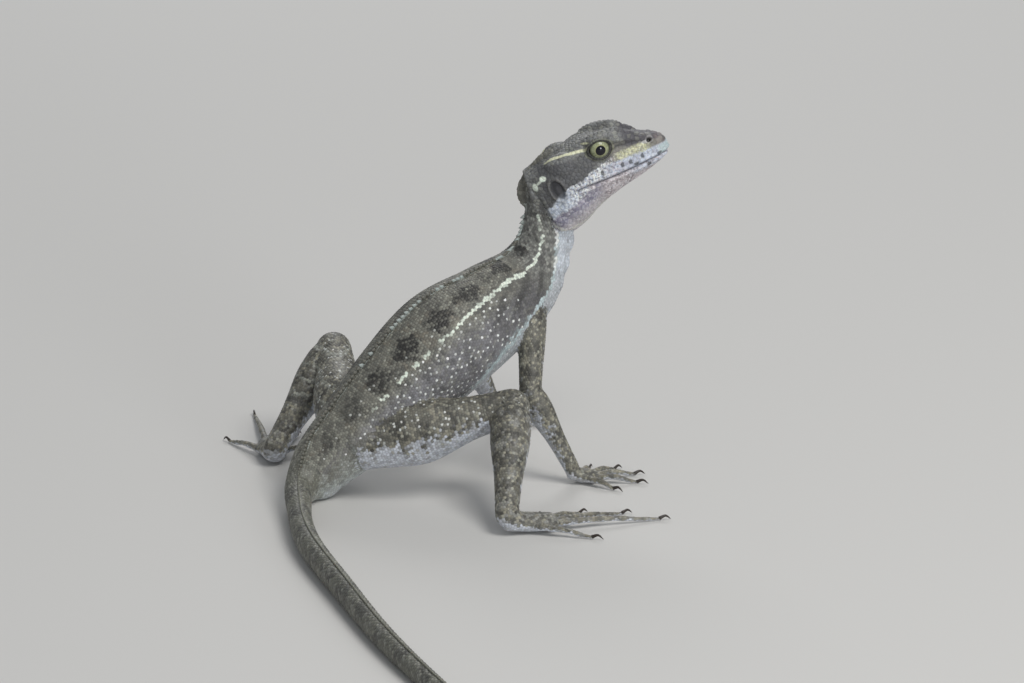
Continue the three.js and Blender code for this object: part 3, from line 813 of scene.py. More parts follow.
seeds = {key: np.concatenate(value) for key, value in seeds.items()}
centres = seeds["at"]
hashes = rng.random((len(centres), 3))
scale_tree = tree_of(centres)
found = [scale_tree.find_n(p, 2) for p in points]
first = np.fromiter((f[0][1] for f in found), int, count)
second = np.fromiter((f[1][1] for f in found), int, count)
c1, c2 = centres[first], centres[second]
apart = np.maximum(np.linalg.norm(c2 - c1, axis=1), 1e-6)
border = (((points - c2) ** 2).sum(1) - ((points - c1) ** 2).sum(1)) / (2 * apart)
size, tall, flat, way = (seeds[key][first] for key in ("size", "tall", "flat", "way"))
offset = points - c1
way = unit(way - (way * normals).sum(1, keepdims=True) * normals)
lengthwise = (offset * way).sum(1) / size
sidewise = np.linalg.norm(np.cross(offset, way) * normals, axis=1) / size
dome = smooth(0.0, 0.34, border / size)
shape = dome * (1 - 0.45 * (1 - flat)) + 0.45 * (1 - flat) * dome * np.clip(0.6 + 0.9 * lengthwise, 0, 1.3)
keel = seeds["keel"][first] * np.maximum(0, 1 - sidewise / 0.2) * dome
smooth_skin = np.maximum(np.maximum(ear_in, nostril_in), hole)
lift = tall * (shape - 0.55 + keel * 0.7) * (1 - smooth_skin)
points = moved(points, normals, lift)
points[:, 2] = np.maximum(points[:, 2], 0.0)
set_points(mesh, points)

# Markings, worked from where each point is on the animal. Colours are taken at each scale's middle, so that
# a scale is of one shade.
t_body = (along_s - vent_s) / (neck_start - vent_s)  # 0 at the vent, 1 at the neck
flank = np.abs(np.arctan2(np.cos(angle), np.sin(angle))) / math.pi  # 0 along the backbone, 1 along the belly
round_mm = girth * math.pi  # half the way round, in mm
h1, h2, h3 = hashes[first].T
in_scale = smooth(0.1, 0.5, dome)


def waves(p, scale, seed_no, octaves=3):
    """Soft noise from sums of turned sines, about -1 to 1."""
    r = np.random.default_rng(seed_no)
    total = np.zeros(len(p))
    weight = 0
    for o in range(octaves):
        f = CIRCLE * 2.0**o / scale
        amp = 0.6**o
        for _ in range(4):
            d = unit(r.normal(size=3))
            e = unit(r.normal(size=3))
            phase = r.random() * CIRCLE
            total += amp * np.sin(f * (p @ d) + phase + 1.7 * np.sin(f * 0.7 * (p @ e)))
            weight += amp
    return total / weight * 2


cell = centres[first]
mottle = waves(cell, 9.0, 3)
fine = waves(cell, 3.0, 5)
speck = waves(cell, 1.5, 17, 2)
grain = waves(points, 0.7, 9, 2)

BACK = srgb(122, 121, 112)
WARM = srgb(124, 114, 98)
DARK = srgb(72, 71, 69)
BLOTCH = srgb(44, 43, 42)
PEPPER = srgb(158, 158, 146)
FLANK = srgb(128, 127, 130)
BELLY = srgb(186, 190, 194)
BLUISH = srgb(190, 204, 206)
STRIPE = srgb(222, 230, 216)
WHITE = srgb(232, 234, 230)
NECK_DARK = srgb(124, 124, 121)
TAIL = srgb(112, 112, 102)
LEG = srgb(114, 112, 103)
MARBLE = srgb(164, 160, 142)
UNDER = srgb(216, 220, 228)
CROWN = srgb(124, 125, 125)
TEMPLE = srgb(80, 80, 83)
LORE = srgb(134, 130, 122)
LIP = srgb(196, 204, 218)
YELLOW = srgb(212, 212, 172)
JAW = srgb(192, 184, 186)
THROAT = srgb(182, 176, 180)
LAVENDER = srgb(180, 182, 198)
INK = srgb(48, 50, 52)

colour = np.tile(BACK, (count, 1))
members = np.maximum(np.bincount(first, minlength=len(centres)), 1)


def by_scale(x):
    """Each scale's mean of a value, so that an edge of colour follows the scales."""
    return (np.bincount(first, weights=x, minlength=len(centres)) / members)[first]


def paint(mask, shade):
    """Lays a shade over the colours where the mask is 1."""
    global colour
    m = np.clip(mask, 0, 1)[:, None]
    colour = colour * (1 - m) + shade * m


def speckle(mask, *coats):
    """Paints coats over a mask, each through a noise from low to high: noise, low, high, strength, shade."""
    for noise, low, high, strength, shade in coats:
        paint(mask * smooth(low, high, noise) * strength, shade)


def disc(x, y, inner, outer):
    """1 near a middle and 0 past the outer radius."""
    return 1 - smooth(inner, outer, np.hypot(x, y))


def line(x, places):
    """A height that follows a few places (x, height), x rising."""
    xs, ys = np.array(places).T
    return np.interp(x, xs, ys)


# Trunk and neck
back = on_trunk & (along_s > vent_s - 6)
paint(back * smooth(0.1, 0.9, waves(cell, 6.0, 23)) * 0.4, WARM)
paint(back * smooth(0.3, 0.42, flank) * smooth(1.02, 0.9, t_body), FLANK)
paint(back * smooth(0.0, 0.8, mottle) * 0.5 * smooth(0.5, 0.3, flank), DARK)
paint(back * smooth(0.1, 0.7, fine) * 0.35 * smooth(0.6, 0.4, flank), DARK)
paint(back * (h1 > 0.78) * 0.6 * smooth(0.42, 0.3, flank) * in_scale, PEPPER)
paint(back * smooth(0.15, 0.55, speck + 0.5 * (h3 - 0.5)) * 0.42, DARK)
paint(back * smooth(0.25, 0.6, waves(cell, 2.1, 51, 2)) * 0.35 * smooth(0.7, 0.55, flank), PEPPER)
paint(back * bump(t_body, 0.9, 0.13) * smooth(0.22, 0.32, flank) * 0.5, DARK)
paint(back * smooth(0.3, 0.0, t_body) * smooth(-0.1, 0.5, speck + 0.4 * (h1 - 0.5)) * 0.6, PEPPER)
neck_side = back * smooth(0.93, 1.03, t_body)
paint(neck_side * smooth(0.72, 0.6, flank) * 0.8, NECK_DARK)
grained = neck_side * smooth(0.7, 0.55, flank)
speckle(
    grained,
    (speck + 0.6 * (h1 - 0.5), -0.25, 0.3, 0.7, srgb(160, 161, 153)),
    (waves(cell, 1.7, 53, 2), 0.0, 0.4, 0.65, DARK),
)
STRIPE_AT = [(0.2, 0.335), (0.35, 0.3), (0.6, 0.305), (0.75, 0.265)]
STRIPE_AT += [(0.88, 0.25), (1.0, 0.295), (1.13, 0.335), (1.2, 0.25)]
EDGE_AT = [(0.3, 0.78), (0.55, 0.72), (0.69, 0.64), (0.8, 0.6)]
EDGE_AT += [(0.9, 0.56), (1.0, 0.57), (1.1, 0.54), (1.2, 0.52)]
to_stripe = by_scale((flank - line(t_body, STRIPE_AT)) * round_mm)
to_edge = by_scale((flank - line(t_body, EDGE_AT)) * round_mm)
# dark blotches on each side of the backbone: place along the trunk, place round it and size in mm
BLOTCHES = [(0.05, 0.2, 2.6), (0.18, 0.2, 2.8), (0.307, 0.2, 3.1), (0.454, 0.195, 3.4)]
BLOTCHES += [(0.582, 0.19, 3.5), (0.71, 0.165, 3.3), (0.88, 0.1, 2.9), (1.03, 0.12, 2.2)]
blotched = np.zeros(count)
warp_a, warp_b = waves(cell, 4.5, 61, 2), waves(cell, 4.5, 62, 2)
trunk_mm = neck_start - vent_s
for t0, f0, wide in BLOTCHES:
    off_along = (t_body - t0) * trunk_mm
    off_round = (flank - f0) * round_mm
    d = np.hypot(off_along / (wide * 1.08) + 0.34 * warp_a, off_round / wide + 0.34 * warp_b)
    strength = 0.55 + 0.45 * smooth(0.1, 0.4, t0)
    blotched = np.maximum(blotched, (1 - smooth(0.8, 1.15, d + 0.3 * (h3 - 0.5))) * strength)
    # a fainter bar joins it to the backbone
    bar = bump(off_along - 0.02 * trunk_mm, 0, 2.2) * smooth(f0, f0 * 0.5, flank)
    paint(back * bar * 0.35 * smooth(-0.4, 0.3, fine), DARK)
paint(back * blotched * (0.62 + 0.28 * (h1 < 0.6)), BLOTCH)
paint(back * blotched * (h2 > 0.8) * 0.4 * in_scale, BACK)
# slanted smudges under the stripe
for t0, f0, wide in ((0.776, 0.37, 2.1), (0.89, 0.37, 2.5), (1.0, 0.4, 2.0)):
    off_along = (t_body - t0 + (flank - f0) * 0.8) * trunk_mm
    d = np.hypot(off_along / wide + 0.3 * warp_a, (flank - f0) * round_mm / 4.2 + 0.3 * warp_b)
    paint(back * (1 - smooth(0.5, 1.2, d + 0.5 * (h3 - 0.5) + 0.2 * speck)) * 0.55, BLOTCH)
bars = smooth(0.2, 0.9, np.sin(t_body * 41 + 5 * flank + 0.8 * mottle)) * smooth(0.3, 0.4, flank)
paint(back * bars * 0.22 * smooth(-2, -5, to_edge), DARK)
paint(back * smooth(0.22, 0.1, t_body) * smooth(0.34, 0.44, flank) * 0.8, BACK)
below = smooth(-0.4, 1.0, to_edge + 0.6 * fine)
paint(back * below * smooth(0.2, 0.42, t_body), BELLY)
paint(back * smooth(0.66, 0.76, flank + 0.03 * fine), BELLY)
paint(back * smooth(0.98, 1.06, t_body) * below * 0.8, srgb(208, 214, 222))
paint(back * below * smooth(0.15, 0.8, fine) * 0.35, FLANK)
# single white scales on the flank, in loose rows
DOT_APART = 1.45
dotted = np.zeros(len(centres))
for i in rng.permutation(np.unique(first[back & (flank > 0.2)])):
    if i < trunk_scales and not any(dotted[j] for _, j, _ in scale_tree.find_range(centres[i], DOT_APART)):
        dotted[i] = 1
on_dot = smooth(0.2, 0.6, dome) * dotted[first]
chance = 0.68 * smooth(0.2, 1.6, to_stripe + 1.2 * fine)
chance = chance * smooth(0.86, 0.74, t_body + 0.03 * fine) * smooth(-0.04, 0.12, t_body)
paint(back * (h1 < chance) * (0.5 + 0.5 * h2) * on_dot, WHITE)
paint(back * (h1 > 0.8) * (flank < 0.3) * smooth(0.75, 0.5, t_body) * 0.45 * on_dot, WHITE)
# the pale stripe, whole on the neck and shoulders and broken into short dashes toward the hips
half = 0.46 + 0.16 * smooth(0.6, 0.8, t_body) - 0.2 * smooth(0.96, 1.04, t_body)
stripe = 1 - smooth(half * 0.95, half * 1.05, np.abs(to_stripe + 0.2 * speck + 0.12 * (h2 - 0.5)))
dashes = smooth(-0.35, 0.1, np.sin(along_s * 1.15 + 1.5 * np.sin(along_s * 0.37)))
whole = smooth(0.52, 0.62, t_body)
on_neck = smooth(1.21, 1.19, t_body) * (1 - bump(t_body, 1.165, 0.012))
paint(back * stripe * (whole + (1 - whole) * dashes) * smooth(0.2, 0.28, t_body) * on_neck, STRIPE)
shadow = bump(np.abs(to_stripe), 1.1, 0.4) * smooth(0.55, 0.7, t_body) * on_neck
paint(back * shadow * 0.4, DARK)
# the bluish line along the belly's edge and up the side of the neck
edge_half = 0.5 + 0.25 * smooth(0.85, 0.7, t_body)
edge_line = 1 - smooth(edge_half * 0.7, edge_half * 1.4, np.abs(to_edge + 0.45 * speck))
paint(back * edge_line * smooth(0.5, 0.62, t_body) * (0.5 + 0.5 * (h3 < 0.8)), BLUISH)
edge_band = bump(to_edge + 0.8 * fine, -0.6, 1.5) * smooth(0.42, 0.55, t_body) * smooth(0.86, 0.74, t_body)
paint(back * edge_band * smooth(-0.25, 0.35, speck + 0.4 * (h2 - 0.5)) * 0.85, BLUISH)
neck_line = (1 - smooth(0.3, 0.6, np.abs(to_edge + 0.2 * speck))) * smooth(-0.7, -0.2, waves(cell, 5.0, 43))
paint(back * neck_line * smooth(1.0, 1.06, t_body), WHITE)
# the pale saw line of the backbone
ridge_line = 1 - smooth(0.35, 0.75, flank * round_mm)
ridge_dash = smooth(-0.2, 0.3, np.sin(along_s * 0.9 + 2.0 * np.sin(along_s * 0.21)))
paint(back * ridge_line * ridge_dash * 0.7, srgb(186, 192, 186))

# Tail
tail = on_trunk & (along_s <= vent_s - 6)
paint(tail, TAIL)
paint(tail * smooth(0.5, 0.9, flank) * 0.6, srgb(146, 146, 140))
TAIL_BAND = 15
band = smooth(0.0, 0.7, np.sin((vent_s - along_s) * CIRCLE / TAIL_BAND + 1.4 * mottle + 0.5 * fine))
paint(tail * band * 0.55 * smooth(0.95, 0.55, flank), DARK)
paint(tail * smooth(0.1, 0.8, speck) * 0.35, DARK)
paint(tail * smooth(0.2, 0.7, waves(cell, 2.6, 79, 2)) * 0.4, srgb(158, 158, 150))
paint(tail * (h1 > 0.86) * 0.45 * in_scale, PEPPER)

# the pale underside of the hips, which fades out along the tail
hips = on_trunk * smooth(0.34, 0.1, t_body) * smooth(vent_s - 30, vent_s - 2, along_s + 5 * fine)
hips = hips * smooth(0.0, -0.45, by_scale(normals[:, 2]) + 0.25 * fine)
paint(hips * (0.3 + 0.4 * smooth(-0.3, 0.3, speck)), srgb(190, 196, 192))

# Legs and feet
legs = part >= LEG_BASE
hind = legs & ((part < FORE_BASE) | ((part >= TOE_BASE) & (part < FINGER_BASE)))
thigh = (part == LEG_BASE) | (part == LEG_BASE + 2)
paint(legs, LEG)
paint(legs * smooth(-0.1, 0.8, mottle) * 0.45, DARK)
marbled = smooth(0.1, 0.5, speck + 0.5 * fine + 0.5 * (h2 - 0.5))
paint(legs * marbled * np.where(thigh, 0.6, 0.75), MARBLE)
paint(legs * smooth(0.25, 0.6, waves(cell, 1.9, 71, 2)) * 0.45, DARK)
shank = hind & ~thigh
speckle(
    shank,
    (waves(cell, 2.8, 78, 2), 0.1, 0.5, 0.5, DARK),
    (waves(cell, 2.6, 77, 2), 0.1, 0.5, 0.5, srgb(160, 160, 156)),
)
LEG_BAND, TOE_BAND, KNEE_LINE = 7.8, 4.2, 3.6
wave = by_scale(along_s * CIRCLE / LEG_BAND + 1.5 * mottle + 0.7 * fine + 0.5 * np.sin(angle))
patchy = smooth(-0.7, 0.5, waves(cell, 5.0, 41))
above_foot = legs & (part < TOE_BASE)
paint(above_foot * smooth(0.0, 0.8, np.sin(wave)) * (0.2 + 0.34 * patchy), BLOTCH)
paint(above_foot * bump(np.sin(wave + 0.35), 0.1, 0.14) * (h3 < 0.75) * 0.6 * patchy, srgb(178, 178, 164))
left_leg = (part == LEG_BASE + 2) | (part == LEG_BASE + 3)
knee = left_leg & (cell[:, 2] > 17) & (cell[:, 2] < 33)
knee_line = bump(np.sin(by_scale(cell[:, 2] * CIRCLE / KNEE_LINE + 0.6 * mottle)), 0.9, 0.16)
paint(knee * knee_line * 0.4 * smooth(0.0, 0.3, h2), srgb(186, 190, 180))
paint(thigh * (h1 < 0.07) * smooth(0.0, 0.3, normals[:, 2]) * 0.7 * in_scale, WHITE)
paint(legs * (h1 > 0.92) * 0.6 * in_scale, PEPPER)
under = smooth(0.0, -0.3, by_scale(normals[:, 2]) + 0.3 * fine + 0.2 * speck)
paint(legs * under * (0.92 * hind + 0.7 * (1 - hind)), UNDER)
paint(above_foot * under * smooth(0.0, 0.5, speck) * 0.5, LAVENDER * 0.62)
paint(legs * under * (h2 > 0.85) * 0.5, LEG)
toe_bands = smooth(0.2, 0.8, np.sin(along_s * CIRCLE / TOE_BAND))
paint((part >= TOE_BASE) * (part % 10 > 0) * toe_bands * 0.5 * (1 - under), srgb(146, 140, 122))

# Head
hx, hy, hz = to_head(points).T
cx, _, cz = to_head(cell).T
ay = np.abs(hy)
over_mouth = hz - mouth_z
sx, sz = (hx + cx) / 2, (hz + cz) / 2  # half way to the scale's middle, so that edges are ragged
headm = on_head.astype(float)
grit_a, grit_b, grit_c = (waves(points, *grit, 2) for grit in ((1.25, 91), (1.0, 92), (1.7, 93)))
paint(headm, CROWN)
paint(headm * smooth(0.0, 0.5, waves(cell, 1.8, 81, 2)) * 0.5, DARK)
paint(headm * (h1 > 0.7) * 0.4 * in_scale, PEPPER)
paint(headm * smooth(0.1, 0.5, grit_a) * 0.4, DARK)
paint(headm * smooth(0.2, 0.6, grit_b) * 0.25, PEPPER)
# the lower edge of the dark temple, and that of the pale cheek
BORDER = [(-5, -6.4), (-2.5, -4.6), (0.5, -2.5), (4, 0.0), (10, 1.3)]
BORDER += [(14.5, 3.1), (18.5, 4.7), (21, 5.2), (30, 6.0)]
GULAR = [(-3, -8.2), (0, -6.7), (3.5, -5.3), (8.5, -3.3), (13, -1.3), (20, -1.2)]
border_z = line(sx, BORDER) + hz - sz + 0.25 * speck
gular_z = line(sx, GULAR) + hz - sz + 0.3 * speck
temple = headm * smooth(8.6, 7.4, hz) * smooth(-0.2, 0.4, hz - border_z)
temple = temple * smooth(15.5, 13, hx) * smooth(-3.5, -1, hx)
paint(temple * 0.8, TEMPLE)
paint(temple * smooth(0.2, 0.9, fine) * 0.3, srgb(98, 98, 92))
# the side of the snout, brownish grey under a dark line from the eye's front corner
lore = headm * smooth(17.5, 20, hx) * smooth(8.2, 7.2, hz - 0.05 * (24 - hx)) * (ay > 1.5)
paint(lore * 0.8, LORE)
eye_line = bump(hz, line(hx, [(18.5, 6.2), (21.5, 7.0), (25, 6.4)]), 0.45)
paint(headm * eye_line * smooth(18, 19, hx) * smooth(26, 24, hx), DARK)
# lips and jaw
pale = headm * smooth(0.3, -0.2, hz - border_z) * smooth(-3.6, -2.6, hx + 0.2 * hz)
paint(pale * smooth(22, 17, hx), LORE)
paint(pale * smooth(19, 15, hx) * smooth(-0.6, 0.2, hz - gular_z), LIP)
PINKISH = srgb(186, 174, 178)
flecks = pale * smooth(3.5, 7, hx) * smooth(23, 17, hx) * smooth(-0.6, 0.2, hz - gular_z)
speckle(
    flecks,
    (grit_c, -0.2, 0.4, 0.7, PINKISH),
    (grit_a + 0.3 * (h3 - 0.5), 0.0, 0.3, 0.8, srgb(92, 90, 98)),
    (grit_b + 0.5 * (h2 - 0.5), 0.05, 0.35, 0.85, WHITE),
)
speckle(
    pale * smooth(9, 5, hx),
    (grit_c, -0.1, 0.4, 0.45, srgb(134, 140, 150)),
    (grit_b, 0.1, 0.5, 0.5, WHITE),
)
upper_lip = headm * smooth(-0.15, 0.15, over_mouth) * smooth(3.4, 2.7, hz) * smooth(15, 19, hx)
paint(upper_lip, LIP)
paint(upper_lip * smooth(25, 20, hx) * smooth(-0.3, 0.3, grit_c) * 0.6, PINKISH)
paint(upper_lip * smooth(24, 19, hx) * smooth(0.1, 0.4, grit_a) * 0.6, srgb(104, 100, 114))
paint(upper_lip * (h2 < 0.35) * 0.5, LAVENDER)
speckle(
    upper_lip,
    (grit_a, 0.15, 0.5, 0.5, srgb(130, 130, 148)),
    (grit_b, 0.2, 0.6, 0.4, WHITE),
)
yellow = headm * smooth(2.6, 3.2, sz) * smooth(5.5, 4.9, sz - 0.03 * (hx - 24))
yellow = yellow * smooth(19, 22, sx) * smooth(31.2, 29.5, sx)
paint(yellow * (0.35 + 0.55 * smooth(-0.35, 0.3, grit_c)), YELLOW)
speckle(
    yellow,
    (grit_a, 0.2, 0.55, 0.5, LORE),
    (grit_b, 0.2, 0.6, 0.5, srgb(226, 226, 206)),
)
tip = headm * smooth(31.8, 33.2, hx)
snout_top = headm * smooth(22, 25, hx) * smooth(5.0, 5.7, hz + 0.1 * (hx - 28) + 0.3 * speck)
paint(snout_top * 0.95, srgb(80, 78, 83))
paint(snout_top * (h1 > 0.75) * 0.28 * in_scale, PEPPER)
paint(tip * smooth(2.6, 3.6, hz) * (0.2 + 0.5 * (h2 < 0.5)), srgb(150, 136, 136))
paint(tip * smooth(2.6, 3.6, hz) * (h3 > 0.6) * 0.6, DARK)
paint(tip * smooth(3.4, 2.4, hz) * smooth(-0.1, 0.2, over_mouth), BLUISH)
paint(headm * (ay > 1) * (1 - smooth(1.3, 2.1, near_nostril)) * 0.45, srgb(170, 166, 168))
behind_nostril = disc(hx - NOSTRIL[0] + 1.25, (hz - NOSTRIL[1] + 0.1) / 0.5, 0.7, 1.2)
paint(headm * (ay > 1) * behind_nostril * 0.85, srgb(206, 206, 204))
jaw = headm * smooth(0.15, -0.15, over_mouth) * smooth(9, 13, hx)
paint(jaw, JAW)
lower_lip = jaw * smooth(-2.3, -1.6, over_mouth)
paint(lower_lip * smooth(21, 26, hx) * 0.8, LIP)
speckle(
    jaw,
    (grit_a, 0.0, 0.4, 0.65, srgb(122, 112, 118)),
    (grit_b + 0.3 * (h2 - 0.5), 0.1, 0.5, 0.6, srgb(222, 218, 222)),
)
gular = headm * smooth(0.3, -0.5, hz - gular_z) * smooth(16, 11, hx)
paint(gular, THROAT)
below_gular = gular_z - hz
mauve = gular * smooth(-0.3, 0.2, below_gular) * smooth(5.0, 2.4, below_gular)
paint(mauve * 0.8, srgb(143, 139, 155))
paint(mauve * smooth(-0.3, 0.6, np.sin(below_gular * 5.0 + 0.6 * fine)) * 0.6, srgb(104, 102, 122))
paint(gular * smooth(0.1, 0.5, grit_b) * 0.25, WHITE)
# dark dots on the lips
DOTS = [(30.4, 2.6), (28, 2.2), (24, 1.8), (21.5, 1.3), (18, 0.4), (26, 0.4), (32.4, 1.0), (15.2, 1.2)]
DOTS += [(23, -1.6), (28.5, -1.4)]
for x, z in DOTS:
    paint(headm * (np.hypot(cx - x, cz - z) < 0.62) * in_scale * 0.8, INK)
throat_edge = line(hx, [(-3, -6.5), (-1.5, -9.4), (1.5, -12.2), (6.5, -11.9), (13, -8.6), (17, -7.4)])
paint(headm * bump(hz - throat_edge, 0, 0.7) * smooth(-3.2, -2.2, hx) * 0.7, srgb(206, 206, 196))
# a thin pale stripe from the eye to the nape, and a spot and dash behind it
stripe_z = line(hx, [(1, 8.0), (5.5, 8.7), (9.5, 9.0), (13, 8.7)])
stripe_off = (hz - stripe_z) * 0.75 - (ay - line(hx, [(1, 4.3), (5.5, 5.6), (13, 6.2)])) * 0.5
eye_stripe = 1 - smooth(0.26, 0.5, np.abs(stripe_off + 0.12 * speck))
eye_stripe = eye_stripe * smooth(0.4, 1.2, hx) * smooth(13.6, 13.0, hx)
paint(headm * eye_stripe * (ay > 2), srgb(222, 222, 190))
paint(headm * (ay > 3) * disc(hx + 0.9, (hz - 4.8) / 0.75, 0.7, 1.15), STRIPE)
link = 1 - smooth(0.2, 0.5, np.abs(hz - 3.9 - 0.62 * (hx + 2.3)))
paint(headm * (ay > 3) * link * smooth(-3.8, -3.4, hx) * smooth(-1.0, -1.4, hx) * 0.8, STRIPE)
paint((ay > 2) * disc((hx + 3.6) / 0.75, (hz - 2.8) / 1.15, 0.7, 1.2), STRIPE)
paint(ear_in * 0.8, srgb(52, 52, 56))
paint(headm * (ay > 3) * disc((ex - 0.35) / 1.75, (ez + 0.2) / 3.0, 0.2, 0.62) * 0.6, srgb(92, 92, 96))
paint(headm * bump(near_ear, 1.2, 0.18) * 0.3, srgb(104, 102, 98))
# painted shade: the nostril's shallow dent is painted near black, in place of a deep opening
paint(nostril_in, srgb(14, 13, 12))
# painted shade: a dark line along the groove where the lips meet
paint(headm * bump(over_mouth, 0, 0.2) * mouth_on * smooth(7, 9, hx) * 0.7, srgb(84, 82, 90))
lid = near_eye * smooth(LID_R + 0.9, LID_R + 0.4, eye_r)
paint(lid * bump(gape, 1.03, 0.06), srgb(34, 34, 28))
paint(lid * bump(gape, 1.15, 0.05) * 0.5, srgb(132, 134, 108))
paint(lid * bump(gape, 1.3, 0.06) * 0.5, DARK)
paint(headm * disc((hx - 13.2) / 1.4, (hz - 10.7) / 0.32, 0.6, 1.0) * 0.6, YELLOW)
# painted shade: a dark line in the fold behind the jaw, where the head meets the neck
jaw_crease_shade = bump(hx - line(hz, [(-11, -2.0), (-5, -3.2), (-2, -3.4)]), 0, 0.5)
paint(headm * jaw_crease_shade * smooth(-12, -10, hz) * smooth(-1.5, -3, hz) * 0.6, DARK)
paint(hole, srgb(18, 16, 14))
paint((part == CREST) * 0.6 * smooth(6, 2, hx), srgb(112, 110, 98))
paint((part == CREST) * smooth(0, 0.8, fine) * 0.3, DARK)

# each scale a shade of its own, and dark seams between scales
jitter = np.where(on_head, 0.22, 0.4)
colour = colour * (1 + jitter * (h2 - 0.5))[:, None] * (1 + 0.05 * grain)[:, None]
seam = np.where(on_head, 0.16, 0.3) * (1 - smooth(0.0, 0.22, border / size))
colour = colour * (1 - seam)[:, None]
colour = np.clip(colour, 0.002, 0.9)


def shade_smooth(made):
    made.polygons.foreach_set("use_smooth", np.ones(len(made.polygons), bool))


def add_colours(made, name, rgb):
    """Colours for each vertex, and smooth shading."""
    layer = made.color_attributes.new(name, "FLOAT_COLOR", "POINT")
    layer.data.foreach_set("color", np.concatenate([rgb, np.ones((len(rgb), 1))], 1).ravel())
    shade_smooth(made)


add_colours(mesh, "Markings", colour)


# Materials
def new_material(name, attribute=None):
    """A material, coloured by the vertices' colours where it names them."""
    made = bpy.data.materials.new(name)
    made.use_nodes = True
    nodes = made.node_tree
    shader = nodes.nodes["Principled BSDF"]
    if attribute:
        colours = nodes.nodes.new("ShaderNodeAttribute")
        colours.attribute_name = attribute
        nodes.links.new(colours.outputs["Color"], shader.inputs["Base Color"])
    return made, nodes, shader


def skin_material(name):
    made, nodes, shader = new_material(name, "Markings")
    shader.inputs["Roughness"].default_value = 0.5
    shader.inputs["Specular IOR Level"].default_value = 0.45
    shader.inputs["Subsurface Weight"].default_value = 0.06
    shader.inputs["Subsurface Radius"].default_value = (0.6, 0.35, 0.25)
    shader.inputs["Subsurface Scale"].default_value = 0.0012
    place = nodes.nodes.new("ShaderNodeTexCoord")
    noise = nodes.nodes.new("ShaderNodeTexNoise")
    noise.inputs["Scale"].default_value = 2600
    noise.inputs["Detail"].default_value = 3
    nodes.links.new(place.outputs["Object"], noise.inputs["Vector"])
    relief = nodes.nodes.new("ShaderNodeBump")
    relief.inputs["Strength"].default_value = 0.35
    relief.inputs["Distance"].default_value = 0.00006
    nodes.links.new(noise.outputs["Fac"], relief.inputs["Height"])
    nodes.links.new(relief.outputs["Normal"], shader.inputs["Normal"])
    return made


skin.data.materials.clear()
skin.data.materials.append(skin_material("scaled skin"))

FLESH = ["head", "lower_jaw", "head_crest", "neck", "chest", "belly", "pelvis"]
FLESH += [f"tail_{n}" for n in range(1, 6)]
for side_name in ("left", "right"):
    FLESH += [f"{n}_{side_name}" for n in ("upper_arm", "forearm", "hand", "thigh", "shin", "foot")]
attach(skin, "root")
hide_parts(*FLESH)


# Eyes: a ball with a swell over the iris, and an iris and a round pupil in the vertices' colours
def iris_colour(lean, turn, streak):
    """The eye's colour at an angle from its axis and a turn about it."""
    deg = math.degrees(lean)
    ring = 0.5 * bump(deg, 27, 2.0)
    white = smooth(51, 56, deg)
    pupil = smooth(25.0, 23.0, deg)
    iris = srgb(156, 161, 128) * (0.92 + 0.22 * streak * bump(deg, 38, 9))
    # the iris is made darker toward its lower half: painted shade from the lower lid
    iris = iris * (1 - 0.55 * smooth(41, 50, deg)) * (1 - 0.3 * max(0.0, math.sin(turn)) ** 1.5)
    iris = iris * (1 - ring) + srgb(184, 182, 122) * ring
    iris = iris * (1 - white) + srgb(22, 20, 16) * white
    return iris * (1 - pupil) + srgb(8, 7, 20) * pupil


def make_eye(name, side):
    sides = 96
    mirror = np.array([1, side, 1])
    axis = unit(EYE_OUT * mirror @ HEAD_AXES)
    centre = to_world(EYE_AT * mirror)
    level = unit(np.cross(axis, [0, 0, 1]))
    upright = np.cross(axis, level)
    streaks = np.random.default_rng(21).normal(0, 1, sides)
    streaks = (streaks + np.roll(streaks, 1)) / 2
    leans = np.linspace(0.02, math.pi, 90)[:-1]
    places = [(a, j) for a in leans for j in range(sides)]
    verts, colours = [], []
    for a, j in [*places, (0.0, 0), (math.pi, 0)]:
        turn = CIRCLE * j / sides
        out = axis * math.cos(a) + (level * math.cos(turn) + upright * math.sin(turn)) * math.sin(a)
        verts.append(centre + out * (EYE_R + 0.16 * math.exp(-((a / 0.75) ** 2))))
        colours.append(iris_colour(a, turn, streaks[j]))
    rings, front = len(leans), len(places)
    faces = [face[::-1] for face in ring_faces(rings, sides)]
    for j in range(sides):
        k = (j + 1) % sides
        faces.append((front, j, k))
        faces.append(((rings - 1) * sides + j, front + 1, (rings - 1) * sides + k))
    made = mesh_object(name, verts, faces)
    add_colours(made.data, "Iris", np.array(colours))
    return made


eye_mat, _, eye_shader = new_material("eye", "Iris")
eye_shader.inputs["Roughness"].default_value = 0.3
eye_shader.inputs["Specular IOR Level"].default_value = 0.05
eye_shader.inputs["Coat Weight"].default_value = 0.8
eye_shader.inputs["Coat Roughness"].default_value = 0.02
for name, side, node in (("eyeball_left", 1, "eye_left"), ("eyeball_right", -1, "eye_right")):
    eye = make_eye(name, side)
    eye.data.materials.append(eye_mat)
    unwrap(eye)
    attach(eye, "root")
    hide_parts(node)


# Claws
def make_claws(sides=10, steps=9):
    points, faces = [], []
    s = np.linspace(0, 1, steps)
    r = 0.5 * (1 - s) ** 0.75 + 0.04
    i, turns = ring_places(steps, sides)
    for n, (root, way, length) in enumerate(claws):
        path = [
            ahead_of(root, way, length - 0.9, TOE_TIP + 0.05),
            ahead_of(root, way, length + 0.9, TOE_TIP + 0.7),
            ahead_of(root, way, length + 2.4, 0.22),
        ]
        at = curve_points(path, s)
        across = [-way[1], way[0], 0]
        p = Rings(at, across, np.gradient(at, axis=0), r * 0.7, r, r).surface(i, turns)
        p[:, 2] = np.maximum(p[:, 2], 0.0)
        points.append(p)
        first = n * steps * sides
        last = first + (steps - 1) * sides
        faces += ring_faces(steps, sides, first)
        faces += [range(first + sides - 1, first - 1, -1), range(last, last + sides)]
    return mesh_object("claws", np.vstack(points), faces)


